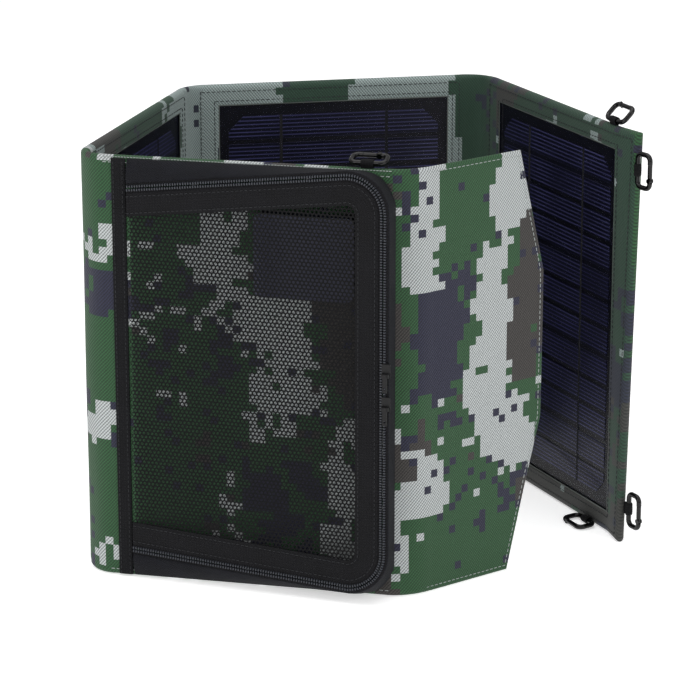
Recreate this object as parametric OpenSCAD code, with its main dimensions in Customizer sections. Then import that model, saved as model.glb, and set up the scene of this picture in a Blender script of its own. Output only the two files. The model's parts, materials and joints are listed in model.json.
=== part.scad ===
// Folding solar panel: four fabric panels in a chain, three of them with a solar module,
// a closing flap, a mesh zip pocket with a USB controller and six small carabiners.
// Frame: millimetres, +Z up. X runs along the front panel, -Y is the pocket side,
// and the origin is the middle of the front panel's bottom edge.
// Each panel is drawn flat in its own frame: x along the panel from its left fold,
// y across its thickness (-y is the outer side), z up; the fold chain then places it.

/* [Panels] */
// Width of a panel from fold line to fold line
panel_w = 178; // [140:1:220]
// Height of every panel
panel_h = 235; // [190:1:290]
// Thickness of a panel at its board
panel_t = 6; // [5:0.1:8]
// Thickness of one layer of fabric with its hem
fabric_t = 0.8; // [0.6:0.1:1.2]
// Half width of the soft fold beside each fold line, without a board
soft_w = 17; // [12:0.5:22]
// Half width left free of panel beside each fold line
fold_gap = 6; // [5:0.5:9]
// Distance that panel D's free edge stops short of a full panel
free_x = 3; // [0:0.5:8]
// Height of the sewn hem below and above the board
hem_h = 9; // [6:0.5:14]
// Thickness of the stiffener board
board_t = 2.6; // [1.5:0.1:3]

/* [Solar modules] */
// Visible width of a module in its fabric window
window_w = 137; // [100:1:170]
// Visible height of a module in its fabric window
window_h = 211; // [160:1:260]
// Width of the module's border hidden under the window frame
module_lap = 2; // [1:0.5:3]
// Thickness of the module's backsheet
backsheet_t = 1.0; // [0.5:0.1:1.2]
// Thickness of the cell layer
cell_t = 0.3; // [0.2:0.1:0.4]
// Thickness of the clear top film
film_t = 0.4; // [0.2:0.1:0.6]
// Width of a cell strip, the width of a standard square wafer
strip_w = 125; // [90:1:156]
// Number of cell strips in a module
strip_count = 12; // [6:1:16]
// Gap between neighbouring strips
strip_gap = 2.8; // [1:0.1:4]
// Margin of the module above and below the strips
strip_margin = 7.5; // [5:0.5:16]
// Cut corner of the first and the last strip
strip_chamfer = 8.6; // [4:0.1:10]
// Width of a solder ribbon
ribbon_w = 1.6; // [1:0.1:3]
// Distance between the two solder ribbons
ribbon_pitch = 63; // [40:1:90]

/* [Rest pose of the folds] */
// Turn of panel B inwards from flat against panel A
turn_ab = 92.8; // [60:0.1:100]
// Turn of panel C inwards from flat against panel B
turn_bc = 63; // [45:0.1:90]
// Turn of panel D inwards from flat against panel C
turn_cd = 76; // [50:0.1:90]
// Turn of the flap inwards from flat against panel A
turn_flap = 51; // [20:0.1:55]

/* [Closing flap] */
// Length of the flap from its fold line to its end
flap_l = 89; // [84:1:100]
// Distance from the fold line to where the upper cut corner starts
flap_shoulder = 72; // [50:1:80]
// Distance from the fold line to where the lower cut corner starts
flap_shoulder_low = 66; // [50:1:80]
// Height of the cut corner at the top of the flap
flap_cut_top = 68; // [30:1:80]
// Height of the cut corner at the bottom of the flap
flap_cut_bottom = 84; // [30:1:90]
// Thickness of the flap without its hook tape
flap_t = 2.0; // [1.4:0.1:3]
// Width of the hook and loop tapes
tape_w = 20; // [14:1:25]
// Height of the hook and loop tapes
tape_h = 90; // [50:1:95]
// Thickness of each tape
tape_t = 1.2; // [0.8:0.1:1.6]

/* [Mesh pocket] */
// Distance from panel A's left fold to the pocket's sewn band
pocket_x = 16.5; // [15:0.5:22]
// Width of the sewn band at the pocket's left
band_w = 7.5; // [5:0.5:10]
// Thickness of the sewn band
band_t = 1.2; // [0.8:0.1:1.6]
// Width of the pocket's cover along the panel
pocket_w = 142.5; // [110:0.5:145]
// Distance from the panel's edge to the zip at the cover's left end
zip_inset_left = 16.8; // [12:0.5:24]
// Distance from the panel's edge to the zip at the cover's right end
zip_inset_right = 5.1; // [5:0.1:8]
// Rise of the cover's right end
pocket_lift = 4.8; // [0:0.1:5]
// Distance from the panel's edge to the seam of the gusset
seam_inset = 1.2; // [0.6:0.1:3]
// Depth of the pocket at its sewn left edge
pocket_depth_left = 2; // [1.8:0.1:4]
// Depth of the pocket at its right edge
pocket_depth_right = 16.5; // [15:0.5:24]
// Radius of the cover's two right corners
pocket_r = 20; // [12:1:26]
// Width of the webbing border round the mesh
border_w = 12.5; // [9:0.5:16]
// Thickness of the cover's webbing border
border_t = 1.2; // [0.8:0.1:1.6]
// Thickness of the mesh
mesh_t = 0.5; // [0.3:0.1:0.8]
// Width of each half of the zip
zip_w = 2.5; // [2:0.1:3]
// Gap between the two halves of the zip
zip_gap = 0.6; // [0.5:0.1:0.8]
// Thickness of the pocket's gusset fabric
gusset_t = 0.7; // [0.5:0.1:0.9]

/* [Zip sliders] */
// Height of the upper slider's middle
slider_upper_z = 132; // [128:1:140]
// Height of the lower slider's middle
slider_lower_z = 114; // [80:1:115]
// Length of a slider
slider_l = 8; // [7:0.5:9]
// Thickness of a slider's plates
slider_t = 0.9; // [0.7:0.1:1.1]
// Length of a pull tab
pull_l = 9; // [7:0.5:10]
// Width of a pull tab
pull_w = 2.4; // [1.8:0.1:2.6]
// Radius of the pin that a pull tab swings on
pull_pin_r = 0.5; // [0.4:0.05:0.6]

/* [USB controller] */
// Width of the controller
ctrl_w = 54; // [46:1:60]
// Height of the controller
ctrl_h = 45; // [40:1:52]
// Thickness of the controller
ctrl_t = 8.6; // [8:0.1:9]
// Distance from the pocket's sewn left edge to the controller
ctrl_x = 79; // [76:1:84]
// Height of the controller's bottom above the ground
ctrl_z = 165; // [140:1:168]
// Wall of the controller's shells
ctrl_wall = 1.3; // [1:0.1:1.4]
// Width of a USB socket
usb_w = 13.2; // [13:0.1:14]
// Height of a USB socket's shell
usb_h = 5.4; // [5.2:0.1:5.8]
// Depth of a USB socket
usb_l = 14; // [12:0.5:16]

/* [Carabiners] */
// Length of a carabiner between the middles of its end bars
hook_l = 18.5; // [17:0.5:28]
// Width of a carabiner between the middles of its long bars
hook_w = 9.8; // [9:0.1:14]
// Diameter of the carabiner's bar
hook_d = 2.8; // [2.4:0.1:3.2]
// Radius of a carabiner's corners at the middle of the bar
hook_r = 3.2; // [2.6:0.1:3.6]
// Length of the gate
gate_l = 9; // [8:0.5:11]
// Radius of the gate's rivet
rivet_r = 0.5; // [0.4:0.05:0.6]
// Width of a webbing loop along the panel's edge
loop_w = 7; // [5:0.5:9]
// Thickness of a loop's webbing
loop_t = 0.7; // [0.5:0.1:1]

/* [Clearances] */
// Radial clearance of a pin or bar in its hole
run_gap = 0.05; // [0.03:0.01:0.08]
// Gap between soft pieces that move past each other
soft_gap = 0.4; // [0.3:0.05:0.5]

/* [Hidden] */
$fn = 48;

// Colours
CAMO = "#5d7060";
LINING = "#3c4f41";
BOARD = "#c9c2b0";
LAMINATE = "#15171f";
CELL = "#1a1c33";
FILM = "#20243a";
WEBBING = "#1b1c20";
MESH = "#26282c";
METAL = "#2b2c30";
PLASTIC = "#1c2233";
CIRCUIT = "#1f6a43";
TAPE = "#222327";

// Layers through a panel, from the outer side (-y) to the inner side (+y)
y_out = -panel_t / 2;
y_in = panel_t / 2;
y_board = y_out + fabric_t;
y_window = y_in - fabric_t;
y_film = y_window - film_t;
y_cells = y_film - cell_t;
y_backsheet = y_cells - backsheet_t;
board_x = soft_w + 1;
board_w = panel_w - 2 * board_x;
board_h = panel_h - 2 * hem_h;
board_gap = 0.3;
window_x = (panel_w - window_w) / 2;
window_z = (panel_h - window_h) / 2;

// Crease of a fold, and where the fabric that moves past it ends
fold_r = 1.5;
fold_end = fold_r + soft_gap;

// Cell strips
strip_h = (window_h - 2 * strip_margin - (strip_count - 1) * strip_gap) / strip_count;
strip_pitch = strip_h + strip_gap;
strip_nick = 0.2;

// Two-core lead in a channel of each board
lead_z = ctrl_z + 26;
lead_core = 2.4;
lead_pitch = 4;
lead_t = 0.8;
lead_gap = 0.1;

// Hook and loop tapes, level with the flap's straight end
tape_z = (flap_cut_bottom + panel_h - flap_cut_top - tape_h) / 2;
tape_x = flap_l - 8 - tape_w;
loop_tape_x = free_x + 30;

// Pocket wedge: the cover lies on a plane that leans out from its sewn left edge
cover_x = pocket_x + band_w + 0.5;
pocket_lean = atan((pocket_depth_right - pocket_depth_left) / pocket_w);
cover_l = pocket_w / cos(pocket_lean);
corner_steps = 8;
zip_half = zip_gap / 2;
function arc(cx, cz, r, a0, a1) =
    [for (i = [0:corner_steps]) let (a = a0 + (a1 - a0) * i / corner_steps)
        [cx + r * cos(a), cz + r * sin(a)]];
// Outline from the lower left corner, anticlockwise: inset_l and inset_r are its distances from
// the panel's edges at the left and right, and d moves it inwards; it starts at x0
function outline(l, inset_l, inset_r, d, x0) =
    let (edge = inset_l + (inset_r - inset_l) * x0 / (l - pocket_r) + d) concat(
        [[x0, edge]],
        arc(l - pocket_r, inset_r + pocket_r, pocket_r - d, -90, 0),
        arc(l - pocket_r, panel_h - inset_r - pocket_r, pocket_r - d, 0, 90),
        [[x0, panel_h - edge]]
    );
function cover_outline(d, x0 = 0) = [for (p = outline(cover_l, zip_inset_left, zip_inset_right, d, x0))
    [p[0], p[1] + pocket_lift * p[0] / cover_l]];
function seam_outline(d) = outline(pocket_w + zip_w, seam_inset, seam_inset, d, -lap);
seam_w = 1.6;
lap = 0.8;
function reversed(list) = [for (i = [len(list) - 1:-1:0]) list[i]];
// A point of the cover's own frame, in panel A's frame
function from_cover(u, y, z) = [
    cover_x + u * cos(pocket_lean) + y * sin(pocket_lean),
    y_out - pocket_depth_left - u * sin(pocket_lean) + y * cos(pocket_lean),
    z
];

// Controller on panel A's outer face
ctrl_left = pocket_x + ctrl_x;
ctrl_half = ctrl_t / 2;
ctrl_r = 4;
usb_pitch = ctrl_w / 2 - 1;
usb_wall = 0.35;
usb_gap = 0.2;
lid_gap = 0.3;
pcb_t = 1.2;
pcb_y = -ctrl_half - pcb_t / 2;

// Carabiners: the eye of a webbing loop round the spine, and the places along the edges
bar_r = hook_d / 2;
eye_r = bar_r + run_gap;
loop_r = eye_r + loop_t;
eye_off = loop_r + 0.3;
top_reach = 24;
side_reach = 20;
bottom_reach = 36;
lean_d_top = 45;
lean_a_top = -78;
lean_floor = -90 - asin((loop_r + 0.1 - bar_r - 0.1) / hook_w);
swing_d_upper = 12;
swing_d_lower = 4;
tongue_t = 1.1;
fork_gap = 0.1;
slot_gap = 0.05;
nose_gap = 0.3;

// ---------- placing the panels ----------

module on_a() { translate([-panel_w / 2, 0, 0]) children(); }
module on_b() {
    on_a() translate([0, y_in, 0]) rotate([0, 0, -turn_ab]) translate([-panel_w, -y_in, 0]) children();
}
module on_c() {
    on_b() translate([0, y_out, 0]) rotate([0, 0, -turn_bc]) translate([-panel_w, -y_out, 0]) children();
}
module on_d() {
    on_c() translate([0, y_in, 0]) rotate([0, 0, -turn_cd]) translate([-panel_w, -y_in, 0]) children();
}
// The flap's own frame starts at its fold line, with its inner face at y = 0
module on_flap() { on_a() translate([panel_w, y_in, 0]) rotate([0, 0, turn_flap]) children(); }
// The pocket cover's plane: x along the cover from its sewn edge, -y outwards
module on_cover() {
    on_a() translate([cover_x, y_out - pocket_depth_left, 0]) rotate([0, 0, -pocket_lean]) children();
}
// A block from one corner to the other
module block(low, high) { translate(low) cube(high - low); }
// A plate in the xz plane, from y0 towards -y by t
module plate(y0, t) { translate([0, y0, 0]) rotate([90, 0, 0]) linear_extrude(t) children(); }

// ---------- panels ----------

// Outer fabric with its hem, a tray round the board
module tray(left, right) {
    difference() {
        block([left, y_out, 0], [right, y_window, panel_h]);
        block([board_x, y_board, hem_h], [board_x + board_w, y_window + 1, hem_h + board_h]);
    }
}
// Crease round a fold line, with the strip of fabric that joins it to its panel's edge
module crease(x, edge, y, strip_y) {
    color(LINING) {
        translate([x, y, 0]) cylinder(r = fold_r, h = panel_h);
        block([min(x, edge), strip_y, 0], [max(x, edge), strip_y + fabric_t, panel_h]);
    }
}
module board(t) {
    color(BOARD) difference() {
        block([board_x + board_gap, y_board, hem_h + board_gap],
            [board_x + board_w - board_gap, y_board + t, hem_h + board_h - board_gap]);
        block([board_x - 1, y_board + t - lead_t - lead_gap, lead_z - lead_gap],
            [board_x + board_w + 1, y_board + t + 1, lead_z + lead_pitch + lead_core + lead_gap]);
    }
}
// Two flat cores in the board's channel, from x0 to x1
module bus_lead(x0, x1, t) {
    color(METAL) for (k = [0, 1])
        block([x0, y_board + t - lead_t, lead_z + k * lead_pitch],
            [x1, y_board + t, lead_z + k * lead_pitch + lead_core]);
}
// A layer of the laminate under the window frame
module layer(y0, y1) {
    block([window_x - module_lap, y0, window_z - module_lap],
        [window_x + window_w + module_lap, y1, window_z + window_h + module_lap]);
}
// Outline of a cell strip, with the cut corners of a round-cornered wafer at one end
module strip(low_cut, high_cut) {
    polygon([[low_cut, 0], [strip_w - low_cut, 0], [strip_w, low_cut], [strip_w, strip_h - high_cut],
        [strip_w - high_cut, strip_h], [high_cut, strip_h], [0, strip_h - high_cut], [0, low_cut]]);
}
module cells() {
    x0 = (panel_w - strip_w) / 2;
    z0 = window_z + strip_margin;
    last = strip_count - 1;
    color(CELL) {
        for (i = [0:last])
            translate([x0, 0, z0 + i * strip_pitch]) plate(y_film, cell_t)
                strip(i == 0 ? strip_chamfer : strip_nick, i == last ? strip_chamfer : strip_nick);
        for (i = [1:last], side = [-1, 1])
            translate([panel_w / 2 + side * ribbon_pitch / 2 - ribbon_w / 2, y_cells,
                z0 + i * strip_pitch - strip_gap - strip_nick])
                cube([ribbon_w, cell_t, strip_gap + 2 * strip_nick]);
    }
}
// Inner fabric frame sewn over the module's border
module window(left, right) {
    color(CAMO) difference() {
        block([left, y_window, 0], [right, y_in, panel_h]);
        block([window_x, y_window - 1, window_z], [window_x + window_w, y_in + 1, window_z + window_h]);
    }
}

edge_l = fold_gap;
edge_r = panel_w - fold_gap;
reach_r = panel_w - fold_end;
lead_l = board_x + 1;
lead_r = board_x + board_w - 1;
board_a_t = y_window - y_board;
lead_hole_x = ctrl_left + ctrl_w / 2;

// Hole for the lead, from the board's channel to the controller
module lead_hole() {
    translate([lead_hole_x, y_window + 1, lead_z + lead_pitch / 2 + lead_core / 2]) rotate([90, 0, 0])
        cylinder(r = lead_pitch, h = panel_t + 3);
}
module cover_a() {
    on_a() color(CAMO) difference() {
        tray(edge_l, edge_r);
        lead_hole();
    }
}
module board_a() {
    on_a() difference() {
        board(board_a_t);
        lead_hole();
    }
}
module lining_a() { on_a() color(LINING) block([edge_l, y_window, 0], [edge_r, y_in, panel_h]); }
module bus_lead_a() {
    on_a() {
        bus_lead(lead_l, lead_hole_x, board_a_t);
        color(METAL) for (k = [0, 1])
            block([lead_hole_x - lead_core, y_out + pcb_y + pcb_t, lead_z + k * lead_pitch],
                [lead_hole_x, y_board + board_a_t, lead_z + k * lead_pitch + lead_core]);
    }
}
module fold_ab() { on_a() crease(0, edge_l, y_in, y_in - fabric_t); }
module fold_flap() { on_a() crease(panel_w, edge_r, y_in, y_in - fabric_t); }

module cover_b() { on_b() color(CAMO) tray(edge_l, edge_r); }
module board_b() { on_b() board(board_t); }
module backsheet_b() { on_b() color(LAMINATE) layer(y_backsheet, y_cells); }
module cells_b() { on_b() cells(); }
module film_b() { on_b() color(FILM) layer(y_film, y_window); }
module window_b() { on_b() window(edge_l, reach_r); }
module bus_lead_b() { on_b() bus_lead(lead_l, lead_r, board_t); }
module fold_bc() { on_b() crease(0, edge_l, y_out, y_out); }

module cover_c() {
    on_c() color(CAMO) {
        tray(edge_l, edge_r);
        block([edge_r, y_out, 0], [reach_r, y_board, panel_h]);
    }
}
module board_c() { on_c() board(board_t); }
module backsheet_c() { on_c() color(LAMINATE) layer(y_backsheet, y_cells); }
module cells_c() { on_c() cells(); }
module film_c() { on_c() color(FILM) layer(y_film, y_window); }
module window_c() { on_c() window(edge_l, edge_r); }
module bus_lead_c() { on_c() bus_lead(lead_l, lead_r, board_t); }
module fold_cd() { on_c() crease(0, edge_l, y_in, y_in - fabric_t); }

module cover_d() { on_d() color(CAMO) tray(free_x, edge_r); }
module board_d() { on_d() board(board_t); }
module backsheet_d() { on_d() color(LAMINATE) layer(y_backsheet, y_cells); }
module cells_d() { on_d() cells(); }
module film_d() { on_d() color(FILM) layer(y_film, y_window); }
module window_d() { on_d() window(free_x, reach_r); }
module bus_lead_d() { on_d() bus_lead(panel_w / 2, lead_r, board_t); }

// ---------- closing flap ----------

module flap_shape() {
    polygon([[fold_end, 0], [flap_shoulder_low, 0], [flap_l, flap_cut_bottom],
        [flap_l, panel_h - flap_cut_top], [flap_shoulder, panel_h], [fold_end, panel_h]]);
}
module flap_cover() { on_flap() color(CAMO) plate(-flap_t / 2, flap_t / 2) flap_shape(); }
module flap_lining() { on_flap() color(LINING) plate(0, flap_t / 2) flap_shape(); }
module hook_tape() {
    on_flap() color(TAPE) block([tape_x, 0, tape_z], [tape_x + tape_w, tape_t, tape_z + tape_h]);
}
module loop_tape() {
    on_d() color(TAPE)
        block([loop_tape_x, y_out - tape_t, tape_z], [loop_tape_x + tape_w, y_out, tape_z + tape_h]);
}

// ---------- mesh pocket ----------

// Solid between rings of points, one ring for each station along a path
module ring_solid(rings) {
    n = len(rings);
    m = len(rings[0]);
    points = [for (ring = rings, p = ring) p];
    sides = [for (i = [0:n - 2], k = [0:m - 1]) let (a = m * i + k, b = m * i + (k + 1) % m)
        each [[b + m, b, a], [a + m, b + m, a]]];
    first = [for (k = [0:m - 1]) k];
    last = [for (k = [m - 1:-1:0]) m * (n - 1) + k];
    polyhedron(points, concat(sides, [first, last]));
}
// The gusset runs from its seam on the panel to the outer edge of the zip; its left end is the sewn band
module pocket_gusset() {
    zip_edge = -zip_half - zip_w;
    seam_outer = seam_outline(0);
    seam_inner = seam_outline(seam_w);
    top_inner = cover_outline(zip_edge, -lap);
    top_outer = cover_outline(zip_edge - gusset_t, -lap);
    function on_face(p) = [cover_x + p[0], y_out, p[1]];
    rings = [for (i = [0:len(seam_outer) - 1]) [
        on_face(seam_outer[i]),
        on_face(seam_inner[i]),
        from_cover(top_inner[i][0], 0, top_inner[i][1]),
        from_cover(top_inner[i][0], -border_t, top_inner[i][1]),
        from_cover(top_outer[i][0], -border_t, top_outer[i][1])
    ]];
    color(WEBBING) {
        on_a() ring_solid(rings);
        on_a()
            block([pocket_x, y_out - band_t, seam_inset], [pocket_x + band_w, y_out, panel_h - seam_inset]);
    }
}
// A strip of the cover's outline between d0 and d1
module cover_strip(d0, d1, x0) {
    polygon(concat(cover_outline(d0, x0), reversed(cover_outline(d1, x0))));
}
border_edge = zip_half + zip_w;
mesh_edge = border_edge + border_w;
cover_gap = 0.6;
hinge_w = 3;
module pocket_border() {
    on_cover() color(WEBBING) difference() {
        plate(0, border_t) polygon(cover_outline(border_edge, cover_gap));
        translate([0, 1, 0]) plate(0, border_t + 2) polygon(cover_outline(mesh_edge, hinge_w));
    }
}
module pocket_mesh() {
    on_cover() color(MESH)
        plate((mesh_t - border_t) / 2, mesh_t) polygon(cover_outline(mesh_edge, hinge_w));
}
module zip_gusset_half() {
    on_cover() color(METAL) plate(0, border_t) cover_strip(-zip_half - zip_w, -zip_half, cover_gap);
}
module zip_cover_half() {
    on_cover() color(METAL) plate(0, border_t) cover_strip(zip_half, zip_half + zip_w, cover_gap);
}

// Slider on the gusset's half of the zip, so that the cover can swing out past it: a front and a
// back plate, a neck in the gap of the zip, and two ears that hold the pull tab's pin
plate_w = 4.6;
ear_t = 0.7;
pull_x = plate_w / 2 - zip_half / 2;
slider_front = -border_t - soft_gap;
pin_y = slider_front - slider_t - pull_pin_r - 0.6;
pin_z = -slider_l / 4;
module slider(z) {
    ear_x = pull_w / 2 + fork_gap;
    on_cover() translate([cover_l, 0, z]) color(METAL) {
        block([-zip_half / 2, slider_front - slider_t, -slider_l / 2],
            [plate_w - zip_half / 2, slider_front, slider_l / 2]);
        block([-zip_half / 2, slider_front - 0.1, -slider_l / 4],
            [zip_half / 2, soft_gap + 0.1, slider_l / 4]);
        block([-zip_half / 2, soft_gap, -slider_l / 2], [zip_w - 0.4, soft_gap + slider_t, slider_l / 2]);
        for (x = [pull_x - ear_x - ear_t, pull_x + ear_x])
            block([x, pin_y - pull_pin_r - 0.3, pin_z - 1.1], [x + ear_t, slider_front, pin_z + 1.1]);
        translate([pull_x - ear_x - 0.3, pin_y, pin_z]) rotate([0, 90, 0])
            cylinder(r = pull_pin_r, h = 2 * ear_x + 0.6);
    }
}
// Pull tab, hanging from the slider's pin
module pull(z) {
    head_r = pull_pin_r + run_gap + 0.5;
    on_cover() translate([cover_l + pull_x, pin_y, z + pin_z]) color(METAL) difference() {
        union() {
            translate([-pull_w / 2, 0, 0]) rotate([0, 90, 0]) cylinder(r = head_r, h = pull_w);
            block([-pull_w / 2, -head_r, -pull_l], [pull_w / 2, -head_r + 0.9, 0]);
        }
        translate([-pull_w / 2 - 1, 0, 0]) rotate([0, 90, 0])
            cylinder(r = pull_pin_r + run_gap, h = pull_w + 2);
        translate([0, 0, -pull_l + 2.2]) rotate([90, 0, 0]) cylinder(r = 0.7, h = 10, center = true);
    }
}
module slider_upper() { slider(slider_upper_z); }
module slider_lower() { slider(slider_lower_z); }
module pull_upper() { pull(slider_upper_z); }
module pull_lower() { pull(slider_lower_z); }

// ---------- USB controller ----------

module round_box(w, h, r) {
    polygon(concat(arc(w - r, h - r, r, 0, 90), arc(r, h - r, r, 90, 180),
        arc(r, r, r, 180, 270), arc(w - r, r, r, 270, 360)));
}
module in_controller() { on_a() translate([ctrl_left, y_out, ctrl_z]) children(); }
// Mouths of the two USB sockets, through the controller's lower wall
module usb_mouths(gap) {
    for (side = [-1, 1])
        block([ctrl_w / 2 + side * usb_pitch / 2 - usb_w / 2 - gap, -ctrl_half - usb_h / 2 - gap, -1],
            [ctrl_w / 2 + side * usb_pitch / 2 + usb_w / 2 + gap,
                -ctrl_half + usb_h / 2 + gap, usb_l + gap]);
}
// Half of the case: y0 is its outer face and y1 its open side
module case_half(y_low, y_high, cavity_low, cavity_high) {
    difference() {
        plate(y_high, y_high - y_low) round_box(ctrl_w, ctrl_h, ctrl_r);
        translate([ctrl_wall, 0, ctrl_wall]) plate(cavity_high, cavity_high - cavity_low)
            round_box(ctrl_w - 2 * ctrl_wall, ctrl_h - 2 * ctrl_wall, ctrl_r - ctrl_wall);
        usb_mouths(usb_gap);
    }
}
// Posts under the corners of the circuit board
module posts() {
    for (x = [9, ctrl_w - 9], z = [usb_l + 4, ctrl_h - 6])
        translate([x, 0.5 - ctrl_wall, z]) rotate([90, 0, 0])
            cylinder(r = 1.6, h = 0.5 - ctrl_wall - pcb_y - pcb_t);
}
module controller_base() {
    in_controller() color(PLASTIC) difference() {
        union() {
            case_half(-ctrl_half, 0, -ctrl_half - 1, -ctrl_wall);
            posts();
        }
        translate([-ctrl_left, -y_out, -ctrl_z]) lead_hole();
    }
}
// Space of the mesh and what lies beyond it, with the clearance that the lid keeps from it
module mesh_space() {
    translate([cover_x, y_out - pocket_depth_left, 0]) rotate([0, 0, -pocket_lean])
        block([0, -pocket_depth_right, 0], [cover_l, (mesh_t - border_t) / 2 + lid_gap, panel_h]);
}
module controller_lid() {
    in_controller() color(PLASTIC) difference() {
        case_half(-ctrl_t, -ctrl_half, -ctrl_t + ctrl_wall, -ctrl_half + 1);
        translate([-ctrl_left, -y_out, -ctrl_z]) mesh_space();
    }
}
// Board with its chip, coil, two capacitors and status light
module controller_board() {
    high = ctrl_h - ctrl_wall - 0.5;
    in_controller() color(CIRCUIT) {
        block([ctrl_wall + 4, pcb_y, usb_l], [ctrl_w - ctrl_wall - 4, pcb_y + pcb_t, high]);
        block([12, pcb_y - 1.2, usb_l + 4], [19, pcb_y, usb_l + 11]);
        translate([28, pcb_y, usb_l + 9]) rotate([90, 0, 0]) cylinder(r = 4.5, h = 1.8);
        for (x = [38, 44]) translate([x, pcb_y, usb_l + 6]) rotate([90, 0, 0]) cylinder(r = 2.2, h = 1.8);
        block([10, pcb_y - 0.8, high - 5], [12, pcb_y, high - 3.5]);
    }
}
// Each socket is a metal shell with a closed back and a contact tongue
module usb_sockets() {
    in_controller() color(METAL) for (side = [-1, 1])
        translate([ctrl_w / 2 + side * usb_pitch / 2, -ctrl_half, 0]) {
            difference() {
                block([-usb_w / 2, -usb_h / 2, 0], [usb_w / 2, usb_h / 2, usb_l]);
                block([-usb_w / 2 + usb_wall, -usb_h / 2 + usb_wall, -1],
                    [usb_w / 2 - usb_wall, usb_h / 2 - usb_wall, usb_l - 1.5]);
            }
            block([-5.5, usb_wall, 1.5], [5.5, usb_wall + 1.8, usb_l - 1]);
        }
}

// ---------- carabiners and their loops ----------

// A carabiner's frame: its spine stands on the eye's axis (z), and the ring reaches along +x
module at_top(x, lean) {
    translate([x, 0, panel_h + eye_off]) rotate([lean, 0, 0]) rotate([0, -90, 0]) children();
}
module at_floor(x) {
    translate([x, y_in + eye_off, loop_r + 0.1]) rotate([lean_floor, 0, 0]) rotate([0, -90, 0]) children();
}
module at_side(z, swing) { translate([free_x - eye_off, 0, z]) rotate([0, 0, 180 + swing]) children(); }
module at_a_top() { on_a() at_top(panel_w - top_reach, lean_a_top) children(); }
module at_a_bottom() { on_a() at_floor(panel_w - top_reach) children(); }
module at_d_top() { on_d() at_top(free_x + top_reach, lean_d_top) children(); }
module at_d_upper() { on_d() at_side(panel_h - side_reach, swing_d_upper) children(); }
module at_d_lower() { on_d() at_side(side_reach, swing_d_lower) children(); }
module at_d_bottom() { on_d() at_floor(free_x + bottom_reach) children(); }

// Webbing loop: its eye on the z axis, and a tail of the given length along -x to the seam
module webbing_loop(tail) {
    color(WEBBING) difference() {
        union() {
            translate([0, 0, -loop_w / 2]) cylinder(r = loop_r, h = loop_w);
            block([-tail, -loop_t, -loop_w / 2], [0, loop_t, loop_w / 2]);
        }
        translate([0, 0, -loop_w]) cylinder(r = eye_r, h = 2 * loop_w);
    }
}
module loops_a() {
    on_a() translate([panel_w - top_reach, 0, panel_h + eye_off]) rotate([0, -90, 0]) webbing_loop(eye_off);
    on_a() translate([panel_w - top_reach, y_in + eye_off, loop_r + 0.1])
        rotate([-90, 0, 0]) rotate([0, -90, 0]) webbing_loop(eye_off);
}
module loops_d() {
    on_d() {
        translate([free_x + top_reach, 0, panel_h + eye_off]) rotate([0, -90, 0]) webbing_loop(eye_off);
        translate([free_x + bottom_reach, y_in + eye_off, loop_r + 0.1])
            rotate([-90, 0, 0]) rotate([0, -90, 0]) webbing_loop(eye_off);
        for (z = [side_reach, panel_h - side_reach])
            translate([free_x - eye_off, 0, z]) rotate([0, 0, 180]) webbing_loop(eye_off);
    }
}
// Body of a carabiner: spine, two end bars, four round corners, the fork with its rivet, and the nose
pivot_z = -gate_l / 2;
module hook() {
    straight = hook_l / 2 - hook_r;
    reach = hook_w - 2 * hook_r;
    color(METAL) {
        difference() {
            union() {
                translate([0, 0, -straight]) cylinder(r = bar_r, h = 2 * straight);
                for (end = [-1, 1]) {
                    translate([hook_r, 0, end * hook_l / 2]) rotate([0, 90, 0])
                        cylinder(r = bar_r, h = reach);
                    translate([hook_r, 0, end * straight]) rotate([90, 0, 0])
                        rotate([0, 0, end > 0 ? 90 : 180])
                            rotate_extrude(angle = 90) translate([hook_r, 0]) circle(r = bar_r);
                    translate([hook_w - hook_r, 0, end * straight]) rotate([90, 0, 0])
                        rotate([0, 0, end > 0 ? 0 : 270])
                            rotate_extrude(angle = 90) translate([hook_r, 0]) circle(r = bar_r);
                }
                translate([hook_w, 0, gate_l / 2]) cylinder(r = bar_r, h = straight - gate_l / 2);
                translate([hook_w, 0, -straight]) cylinder(r = bar_r, h = straight + pivot_z);
                translate([hook_w, 0, pivot_z]) rotate([90, 0, 0])
                    cylinder(r = bar_r, h = hook_d, center = true);
            }
            block([hook_w - 2 * bar_r, -tongue_t / 2 - fork_gap, pivot_z - bar_r - slot_gap],
                [hook_w + 2 * bar_r, tongue_t / 2 + fork_gap, pivot_z + 2 * bar_r]);
        }
        translate([hook_w, 0, pivot_z]) rotate([90, 0, 0])
            cylinder(r = rivet_r, h = hook_d - 0.2, center = true);
    }
}
// Gate: a round bar with a flat tongue that turns on the rivet
module gate() {
    bar_low = pivot_z + bar_r + 0.3;
    color(METAL) difference() {
        translate([hook_w, 0, 0]) {
            translate([0, 0, bar_low]) cylinder(r = bar_r - 0.1, h = gate_l / 2 - nose_gap - bar_low);
            translate([0, 0, pivot_z]) rotate([90, 0, 0])
                cylinder(r = bar_r - 0.1, h = tongue_t, center = true);
            block([-bar_r + 0.3, -tongue_t / 2, pivot_z], [bar_r - 0.3, tongue_t / 2, bar_low + 0.5]);
        }
        translate([hook_w, 0, pivot_z]) rotate([90, 0, 0])
            cylinder(r = rivet_r + run_gap, h = hook_d, center = true);
    }
}
module hook_a_top() { at_a_top() hook(); }
module hook_a_bottom() { at_a_bottom() hook(); }
module hook_d_top() { at_d_top() hook(); }
module hook_d_upper() { at_d_upper() hook(); }
module hook_d_lower() { at_d_lower() hook(); }
module hook_d_bottom() { at_d_bottom() hook(); }
module gate_a_top() { at_a_top() gate(); }
module gate_a_bottom() { at_a_bottom() gate(); }
module gate_d_top() { at_d_top() gate(); }
module gate_d_upper() { at_d_upper() gate(); }
module gate_d_lower() { at_d_lower() gate(); }
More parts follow.
